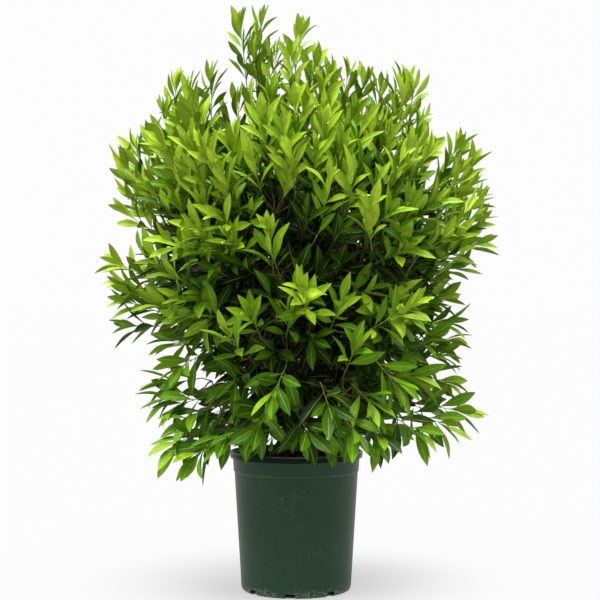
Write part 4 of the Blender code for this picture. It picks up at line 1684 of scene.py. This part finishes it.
@dataclass
class Foliage:
    """Grows every mass, first its stem and twigs as in the solids, then shoots and life-sized leaves."""

    plan: CrownPlan
    masses: list[Mass]
    limbs: Paths
    twig_habit: TwigHabit = TwigHabit()
    shoot_habit: ShootHabit = ShootHabit()
    leaf_habit: LeafHabit = LeafHabit()
    clearance: float = 0.003
    wood_stride: float = 0.02
    reach: float = 0.22
    least_reach: float = 0.012
    bend_cost: float = 0.6
    fill_sway: float = 0.012
    fill_lean: float = 0.30
    fill_spread: float = 0.02
    fills: tuple[Fill, ...] = (
        Fill("outer", 900, 0.022, 0.046, (0.28, 0.94)),
        Fill("middle", 1000, 0.080, 0.042, (0.42, 0.92)),
        Fill("inner", 800, 0.150, 0.042, (0.48, 0.92)),
    )
    shoot_tips: Spacing = field(default_factory=lambda: Spacing(0.033))
    leaf_middles: Spacing = field(default_factory=lambda: Spacing(0.0108))
    wood: list[tuple[Vector, Vector, str]] = field(default_factory=list)
    twigs: list[Twig] = field(default_factory=list)
    leaves: list[Leaf] = field(default_factory=list)
    tier: str = ""
    chance: random.Random = field(default_factory=random.Random)

    def __post_init__(self) -> None:
        """Makes the light in the crown, and the tree of solids that leaves and twigs keep clear of."""
        self.daylight = Daylight(self.plan)
        self.solids = tree_of_nodes([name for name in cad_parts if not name.startswith("foliage")])

    def clear(self, start: Vector, end: Vector) -> bool:
        """Returns whether the straight way from start to end is clear of the pot, soil and limbs."""
        way = end - start
        hit = self.solids.ray_cast(start, way.normalized(), way.length)[0]
        return hit is None and self.solids.find_nearest(end, self.clearance)[0] is None

    def grow(self) -> None:
        """Grows all the twigs, then the sprays, the shoots on twigs and limbs, and what fills the rest."""
        carriers = []
        for mass in self.masses:
            self.chance = random.Random(mass.name)
            cell = Cell(self.plan, mass, self.masses)
            twigs = self.carriers(mass, cell)
            carriers.append((cell, self.chance, twigs))
            for twig, _ in twigs:
                self.add_wood(twig.points, mass.tier)
            self.add_wood(self.limbs[mass.limb], mass.tier)
        for spray in SPRAYS:
            self.grow_spray(spray)
        for cell, chance, twigs in carriers:
            self.chance, self.tier = chance, cell.mass.tier
            for twig, turn in twigs:
                self.twigs.append(twig)
                self.grow_shoots(twig, turn, cell)
            self.grow_inner(self.limbs[cell.mass.limb])
        for fill in self.fills:
            self.grow_fill(fill)

    def add_wood(self, points: Sequence[Vector], tier: str) -> None:
        """Notes the points of a limb or twig of this tier, from which further twigs may grow."""
        for first, second in zip(points, points[1:]):
            steps = max(round((second - first).length / self.wood_stride), 1)
            way = (second - first).normalized()
            self.wood += [(first.lerp(second, i / steps), way, tier) for i in range(steps)]

    def carriers(self, mass: Mass, cell: Cell) -> list[tuple[Twig, float]]:
        """Returns a mass's stem and twigs as in the solids, each with the turn at which its spiral starts."""
        habit = self.twig_habit
        end = mass.tip - mass.axis * (habit.solid_leaf - habit.solid_leaf_root)
        phase = self.chance.uniform(0, math.tau)
        points = [mass.root.lerp(end, i / (habit.points - 1)) for i in range(habit.points)]
        found = [(Twig(points, habit.stem_radius, habit.radius, False), phase)]
        count = round((mass.tip - mass.root).length / habit.every)
        for i in range(count):
            share = i / (count - 1)
            start = mass.root.lerp(end, blend(*habit.places, share))
            turn = phase + i * GOLDEN_ANGLE + self.chance.uniform(-habit.turn_sway, habit.turn_sway)
            way = leaning(mass.axis, blend(*habit.openings, share), turn)
            way = (way + habit.lift * self.plan.axis(start + way * habit.length)).normalized()
            room = cell.room(start, way, habit.most) - self.leaf_habit.room * habit.solid_leaf
            tip = start + way * max(min(habit.length, room), habit.least)
            if cell.holds(tip) and self.clear(start + way * habit.clear_of_stem, tip):
                found.append((self.twig_between(start, way, tip, way), turn))
        return found

    def twig_between(self, start: Vector, way: Vector, end: Vector, end_way: Vector) -> Twig:
        """Returns a twig that sets off one way at its start and arrives another way at its end."""
        habit = self.twig_habit
        pull = habit.pull * (end - start).length
        points = interpolate_bezier(start, start + way * pull, end - end_way * pull, end, habit.points)
        return Twig(points, habit.radius, self.shoot_habit.radius, False)

    def grow_shoots(self, carrier: Twig, phase: float, cell: Cell) -> None:
        """Sets shoots down a twig in a spiral that starts at this turn, the first at the twig's tip."""
        habit = self.shoot_habit
        way, length = carrier.span.normalized(), carrier.span.length
        for i, degrees in enumerate(habit.openings):
            back = i * habit.spacing
            if back > length - habit.clear_of_fork:
                return
            shoot_way = leaning(way, math.radians(degrees), phase + i * GOLDEN_ANGLE)
            self.grow_shoot(carrier.points[-1] - way * back, shoot_way.normalized(), cell)

    def grow_inner(self, limb: Sequence[Vector]) -> None:
        """Grows shoots along a limb, inside the crown."""
        habit = self.shoot_habit
        gone, turn = 0.0, self.chance.uniform(0, math.tau)
        for first, second in zip(limb, limb[1:]):
            gone += (second - first).length
            if gone < habit.inner_every or first.z < self.plan.foot + habit.inner_start:
                continue
            gone = 0.0
            turn += GOLDEN_ANGLE
            way = leaning((second - first).normalized(), habit.inner_opening, turn)
            self.grow_shoot(first + way * habit.inner_clearance, way)

    def grow_spray(self, spray: Spray) -> None:
        """Grows one shoot with its ends in given places, and the twig that carries it."""
        start, end = spray.ends()
        way = (end - start).normalized()
        twig = self.reach_out(start, way)
        if twig:
            self.twigs.append(twig)
            self.add_wood(twig.points, self.tier)
            self.chance = random.Random(str(spray.tip))
            count = max(round((end - start).length / self.shoot_habit.step), 2)
            path = [start.lerp(end, i / count) for i in range(count + 1)]
            for point in (end, start.lerp(end, 0.5), start):
                self.shoot_tips.claim(point)
            leaf_length = self.leaf_habit.length_at(end.z) * self.leaf_habit.in_sprays
            self.leaf_up(Shoot(path, leaf_length, spray.light, held=False))

    def grow_fill(self, fill: Fill) -> None:
        """Grows one layer's shoots, each on a twig that reaches out from the wood nearest to it."""
        chance = self.chance = random.Random(fill.name)
        self.shoot_tips = self.shoot_tips.wider(fill.apart)
        low, high = fill.heights
        for i in range(fill.tries):
            edge = around(i * GOLDEN_ANGLE) + UP * chance.uniform(low, high)
            spread = self.plan.reach(edge) - fill.inset - abs(chance.gauss(0, self.fill_sway))
            edge = Vector((edge.x * spread, edge.y * spread, edge.z))
            way = self.plan.shoot_way(edge)
            side = side_way(way, chance.uniform(0, math.tau)) * chance.uniform(0, self.fill_lean)
            way = (way + side).normalized()
            length = chance.uniform(*self.shoot_habit.lengths)
            start = edge - way * (length + self.leaf_habit.room * self.leaf_habit.length_at(edge.z))
            if spread < self.fill_spread or not self.plan.holds(edge):
                continue
            if not self.shoot_tips.free(start + way * length):
                continue
            twig = self.reach_out(start, way)
            if twig and self.grow_shoot(start, way):
                self.twigs.append(twig)

    def reach_out(self, start: Vector, way: Vector) -> Twig | None:
        """Returns a twig from the nearest wood to a shoot's start, and takes on that wood's tier.

        Args:
            start: where the shoot starts.
            way: the shoot's direction.

        Returns:
            The twig, or None where no wood is in reach.
        """
        best, least = None, self.reach
        lean = (way + level_way(start)).normalized()
        for point, along, tier in self.wood:
            gap = start - point
            length = gap.length
            if length < least and length > self.least_reach:
                cost = length * (1 + self.bend_cost - self.bend_cost * gap.dot(lean) / length)
                if cost < least:
                    best, least = (point, along, tier), cost
        if best is None:
            return None
        point, along, self.tier = best
        lean = (along + (start - point).normalized()).normalized()
        return self.twig_between(point, lean, start, way)

    def grow_shoot(self, root: Vector, way: Vector, cell: Cell | None = None) -> bool:
        """Grows one leafy shoot, which bends to the crown's own direction until it runs out of room.

        Args:
            root: where it leaves its twig or limb.
            way: the direction in which it sets off.
            cell: the mass's own space, or None to keep to the whole crown.

        Returns:
            Whether there was room for it.
        """
        habit, leaf, chance = self.shoot_habit, self.leaf_habit, self.chance
        if chance.random() < level_at(habit.sparse, root.z):
            return False
        leaf_length = leaf.length_at(root.z) * chance.uniform(*leaf.length_sway)
        most = chance.uniform(*habit.lengths)
        path, gone = [root], 0.0
        while gone < most:
            way = way.lerp(self.plan.shoot_way(path[-1]), habit.bend).normalized()
            point = path[-1] + way * habit.step
            tip = point + way * leaf.room * leaf_length
            if not (cell.holds(tip, habit.cell_overlap) if cell else self.plan.holds(tip)):
                break
            if gone > habit.unfelt and not self.clear(path[-1], tip):
                break
            path.append(point)
            gone += habit.step
        if gone < habit.least or not self.shoot_tips.claim(path[-1]):
            return False
        light = self.daylight.at(path[-1] + way * leaf.lit_at * leaf_length)
        self.leaf_up(Shoot(path, leaf_length, light + chance.gauss(0, habit.light_sway)))
        return True

    def leaf_up(self, shoot: Shoot) -> None:
        """Sets leaves down a shoot in a spiral, the first at its tip."""
        habit, path = self.leaf_habit, shoot.points
        marks = [path[round(mark * (len(path) - 1))] for mark in self.shoot_habit.marks]
        self.twigs.append(Twig(marks, self.shoot_habit.radius, self.shoot_habit.tip_radius, True))
        phase = self.chance.uniform(0, math.tau)
        step = blend(*habit.steps, habit.young(path[-1])) / self.shoot_habit.step
        for k in range(habit.most):
            back = max(k - habit.tip_leaves, 0) * step
            if back > len(path) - habit.bare_points:
                return
            upper, lower = path[-1 - int(back)], path[-2 - int(back)]
            place = upper.lerp(lower, back % 1)
            self.grow_leaf(shoot, place, (upper - lower).normalized(), k, phase + k * GOLDEN_ANGLE)

    def grow_leaf(self, shoot: Shoot, place: Vector, axis: Vector, k: int, turn: float) -> None:
        """Sets one leaf on a shoot, unless it would leave the crown or meet another, the pot, soil or a limb.

        Args:
            shoot: the shoot.
            place: where the leaf starts.
            axis: the shoot's direction there.
            k: the leaf's number from the shoot's tip.
            turn: its turn round the shoot.
        """
        habit, chance = self.leaf_habit, self.chance
        young = habit.young(place)
        k = min(k, len(habit.sizes) - 1)
        steep = clamp((axis.z - habit.upright_from) / habit.upright_over)
        opening = habit.openings[k] * (habit.level_opening - habit.upright_less * steep)
        opening = math.radians(opening + chance.uniform(-habit.opening_sway, habit.opening_sway))
        size = blend(1.0, habit.sizes[k], blend(*habit.old_shares, young)) * chance.uniform(*habit.size_sway)
        way = leaning(axis, opening, turn)
        way = (way - UP * level_at(habit.droop, place.z)).normalized()
        tip = place + way * shoot.leaf_length * size
        if shoot.held and not self.plan.holds(tip):
            return
        if not self.clear(place + way * habit.clear_of_shoot, tip):
            return
        if k > habit.tip_leaves and not self.leaf_middles.claim(place.lerp(tip, habit.middle)):
            return
        facing = level_way(place) * habit.facing_out + UP * habit.facing_up + axis * habit.facing_along
        facing = (facing - way * facing.dot(way)).normalized()
        facing.rotate(Quaternion(way, chance.gauss(0, habit.facing_sway)))
        # Painted light and shade: the tint is darker where the shoot gets less light, and darker with the
        # leaf's age.
        shade = clamp(1.0 - shoot.light + habit.ages[k] + chance.gauss(0, habit.light_sway))
        tint = int(habit.darkest * shade * len(TINTS))
        form = chance.randrange(len(LEAF_FORMS))
        breadth = chance.uniform(*habit.breadth_sway) * blend(1.0, habit.young_breadth, young)
        breadth /= size ** habit.size_to_breadth
        length = shoot.leaf_length * size
        self.leaves.append(Leaf(place, way, facing, length, breadth, form, tint, self.tier))

    def leaf_points(self, shapes: np.ndarray, leaves: Sequence[Leaf]) -> np.ndarray:
        """Returns every leaf's points, as leaves by points by 3."""
        along = np.array([leaf.way for leaf in leaves])
        upper = np.array([leaf.facing for leaf in leaves])
        size = np.array([(leaf.length * leaf.breadth, leaf.length, leaf.length) for leaf in leaves])
        scaled = shapes[[leaf.form for leaf in leaves]] * size[:, None, :]
        axes = np.stack([np.cross(upper, along), upper, along], axis=1)
        return np.einsum("npk,nkj->npj", scaled, axes) + np.array([leaf.root for leaf in leaves])[:, None]

    def build_leaves(self) -> None:
        """Makes the leaves of each tier as pieces."""
        sheet = LeafSheet().copies()
        shapes = np.array([form.shaped(sheet.points) for form in LEAF_FORMS])
        materials = [material for tint in TINTS for material in LeafFinish(tint).materials()]
        groups = {}
        for leaf in self.leaves:
            groups.setdefault(leaf.tier, []).append(leaf)
        faces = len(sheet.starts) * 2
        for tier, leaves in groups.items():
            masses = [mass.name for mass in self.masses if mass.tier == tier]
            parts = math.ceil(len(leaves) * faces / FACE_BUDGET)
            for i in range(parts):
                share = leaves[i::parts]
                slots = np.array([leaf.tint * len(LeafPart) for leaf in share])
                mesh = sheet.joined(f"leaves_{tier}_{i + 1}", self.leaf_points(shapes, share), slots)
                link_piece(mesh.name, mesh, materials, masses)

    def build_twigs(self) -> None:
        """Makes the twigs and the green shoots as two pieces."""
        kinds = {"twigs": (False, linear(88, 80, 46)), "shoots": (True, linear(134, 140, 62))}
        for name, (green, colour) in kinds.items():
            chosen = [twig for twig in self.twigs if twig.green == green]
            rings = len(chosen[0].points)
            template = self.prism(rings)
            paths = np.array([[tuple(point) for point in twig.points] for twig in chosen])
            along = [i / (rings - 1) for i in range(rings)]
            radii = np.array([blend(twig.foot_radius, twig.tip_radius, share)
                              for twig in chosen for share in along]).reshape(-1, rings)
            ways = [twig.span.normalized() for twig in chosen]
            first, second = (np.array([tuple(side_way(way, turn)) for way in ways])[:, None]
                             for turn in (0.0, math.pi / 2))
            ring = np.rint(template.points[:, 2]).astype(int)
            across, aside = template.points[None, :, 0, None], template.points[None, :, 1, None]
            points = paths[:, ring] + radii[:, ring, None] * (across * first + aside * second)
            mesh = template.joined(name, points, np.zeros(len(chosen), int))
            finish = PlainFinish(f"{name}_bark", colour, roughness=0.6, mottle=0.22).material()
            link_piece(name, mesh, [finish], [mass.name for mass in self.masses])

    def prism(self, rings: int) -> Copies:
        """Returns a prism of unit radius with a twig's sides and this many rings, a unit apart."""
        bm = bmesh.new()
        bmesh.ops.create_circle(bm, cap_ends=True, segments=self.twig_habit.sides, radius=1)
        cap = bm.faces[:]
        for _ in range(rings - 1):
            made = bmesh.ops.extrude_face_region(bm, geom=cap, use_keep_orig=False)["geom"]
            verts = [item for item in made if isinstance(item, BMVert)]
            cap = [item for item in made if isinstance(item, BMFace)]
            bmesh.ops.translate(bm, vec=UP, verts=verts)
        low = [vert for vert in bm.verts if vert.co.z < 0.5]
        if not any(all(vert in low for vert in face.verts) for face in bm.faces):
            bmesh.ops.contextual_create(bm, geom=low)
        bmesh.ops.recalc_face_normals(bm, faces=bm.faces)
        return Copies(mesh_of(bm, "prism"))

    def build(self) -> None:
        """Grows the foliage and makes its pieces."""
        self.grow()
        self.build_twigs()
        self.build_leaves()
        LOG.info("%d leaves on %d twigs", len(self.leaves), len(self.twigs))


@dataclass(frozen=True)
class SoftLight:
    """A broad far light: where it stands in the sky, how wide it looks and how bright a white card is in it.

    Its angles are in degrees.
    """

    name: str
    azimuth: float
    elevation: float
    width: float
    brightness: float
    distance: float = 4.0

    def build(self) -> None:
        """Adds the light."""
        data = bpy.data.lights.new(self.name, "SUN")
        data.angle, data.energy = math.radians(self.width), self.brightness * math.pi
        lamp = linked(self.name, data)
        towards = rising(around(math.radians(self.azimuth)), math.radians(self.elevation))
        lamp.rotation_euler = towards.to_track_quat("Z", "Y").to_euler()
        lamp.location = towards * self.distance


@dataclass
class Studio:
    """A white studio: a pale floor whose glow is painted light, a white sky, broad lights above, and the
    camera.

    The sky fades from its level at the skyline to its level above, over a rise in its direction's Z.
    """

    sensor_width: float = 36.0
    sky: float = 0.974
    sky_above: float = 0.25
    sky_fade: Span = (0.21, 0.50)
    floor_white: float = 0.9735
    floor_lit: float = 0.3125
    floor_grey: float = 0.083
    shadow_shares: Span = (1.50, 0.08)
    shadow_middle: tuple[float, float, float] = (-0.03, 0.12, 0.0)
    shadow_fade: Span = (0.10, 0.46)
    floor_size: float = 400.0
    lights: tuple[SoftLight, ...] = (
        SoftLight("key", -140, 66, 50, 1.80),
        SoftLight("top", 40, 76, 70, 1.80),
    )

    def build(self) -> None:
        """Makes the floor, the sky, the lights and the camera."""
        self.build_floor()
        self.build_sky()
        for light in self.lights:
            light.build()
        self.build_camera()
        bpy.context.scene.view_settings.view_transform = "Standard"

    def build_floor(self) -> None:
        """Lays the floor."""
        bm = bmesh.new()
        bmesh.ops.create_grid(bm, x_segments=1, y_segments=1, size=self.floor_size / 2)
        floor = linked("studio_floor", mesh_of(bm, "studio_floor"))
        floor.data.materials.append(self.floor_finish())

    def build_sky(self) -> None:
        """Puts up the sky."""
        sky = bpy.data.worlds.new("studio")
        sky.use_nodes = True
        nodes = Nodes(sky.node_tree)
        shade = nodes.tree.nodes["Background"]
        way = nodes.node("ShaderNodeTexCoord").outputs["Generated"]
        split = nodes.node("ShaderNodeSeparateXYZ", None, {0: way})
        strength = nodes.rise(Value(nodes, split.outputs["Z"]), *self.sky_fade, self.sky, self.sky_above)
        nodes.feed(shade, "Color", (1, 1, 1, 1))
        nodes.feed(shade, "Strength", strength)
        bpy.context.scene.world = sky

    def build_camera(self) -> None:
        """Sets up the camera, level with the plant's middle and straight before it."""
        data = bpy.data.cameras.new("camera")
        data.sensor_width = self.sensor_width
        data.lens = VIEW.focal_pixels * self.sensor_width / VIEW.frame_pixels
        camera = linked("camera", data)
        camera.location = (VIEW.right, -VIEW.distance, VIEW.height)
        camera.rotation_euler = (math.pi / 2, 0, 0)
        bpy.context.scene.camera = camera

    def floor_finish(self) -> Material:
        """Returns the floor's material, whose glow is painted light: as white in the open everywhere, with
        most shadow near the pot.
        """
        near, far = ((self.floor_grey * share,) * 3 for share in self.shadow_shares)
        # Painted shadow: near the pot the floor glows less and is greyer, so the lamps' shadow there is
        # deeper.
        glows = (self.floor_white - self.floor_lit * share for share in self.shadow_shares)
        near_glow, far_glow = ((glow,) * 3 for glow in glows)
        made = Shader("studio_floor", near, roughness=1.0, specular=0.0)
        ends = {0: made.place, 1: self.shadow_middle}
        away = made.node("ShaderNodeVectorMath", {"operation": "DISTANCE"}, ends)
        share = made.rise(Value(made, away.outputs["Value"]), *self.shadow_fade)
        made.paint(made.mix(share, near, far))
        made.feed(made.surface, "Emission Color", made.mix(share, near_glow, far_glow))
        made.feed(made.surface, "Emission Strength", 1.0)
        return made.material


def main() -> None:
    """Builds the plant in its studio, from the pot up."""
    logging.basicConfig(level=logging.INFO, format="%(name)s: %(message)s")
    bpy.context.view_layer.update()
    Studio().build()
    pot = Pot()
    pot.build()
    Soil(pot).build()
    plan = CrownPlan()
    masses = plan.masses()
    limbs = Limbs(plan, masses).build()
    Foliage(plan, masses, limbs).build()


if __name__ == "__main__":
    main()
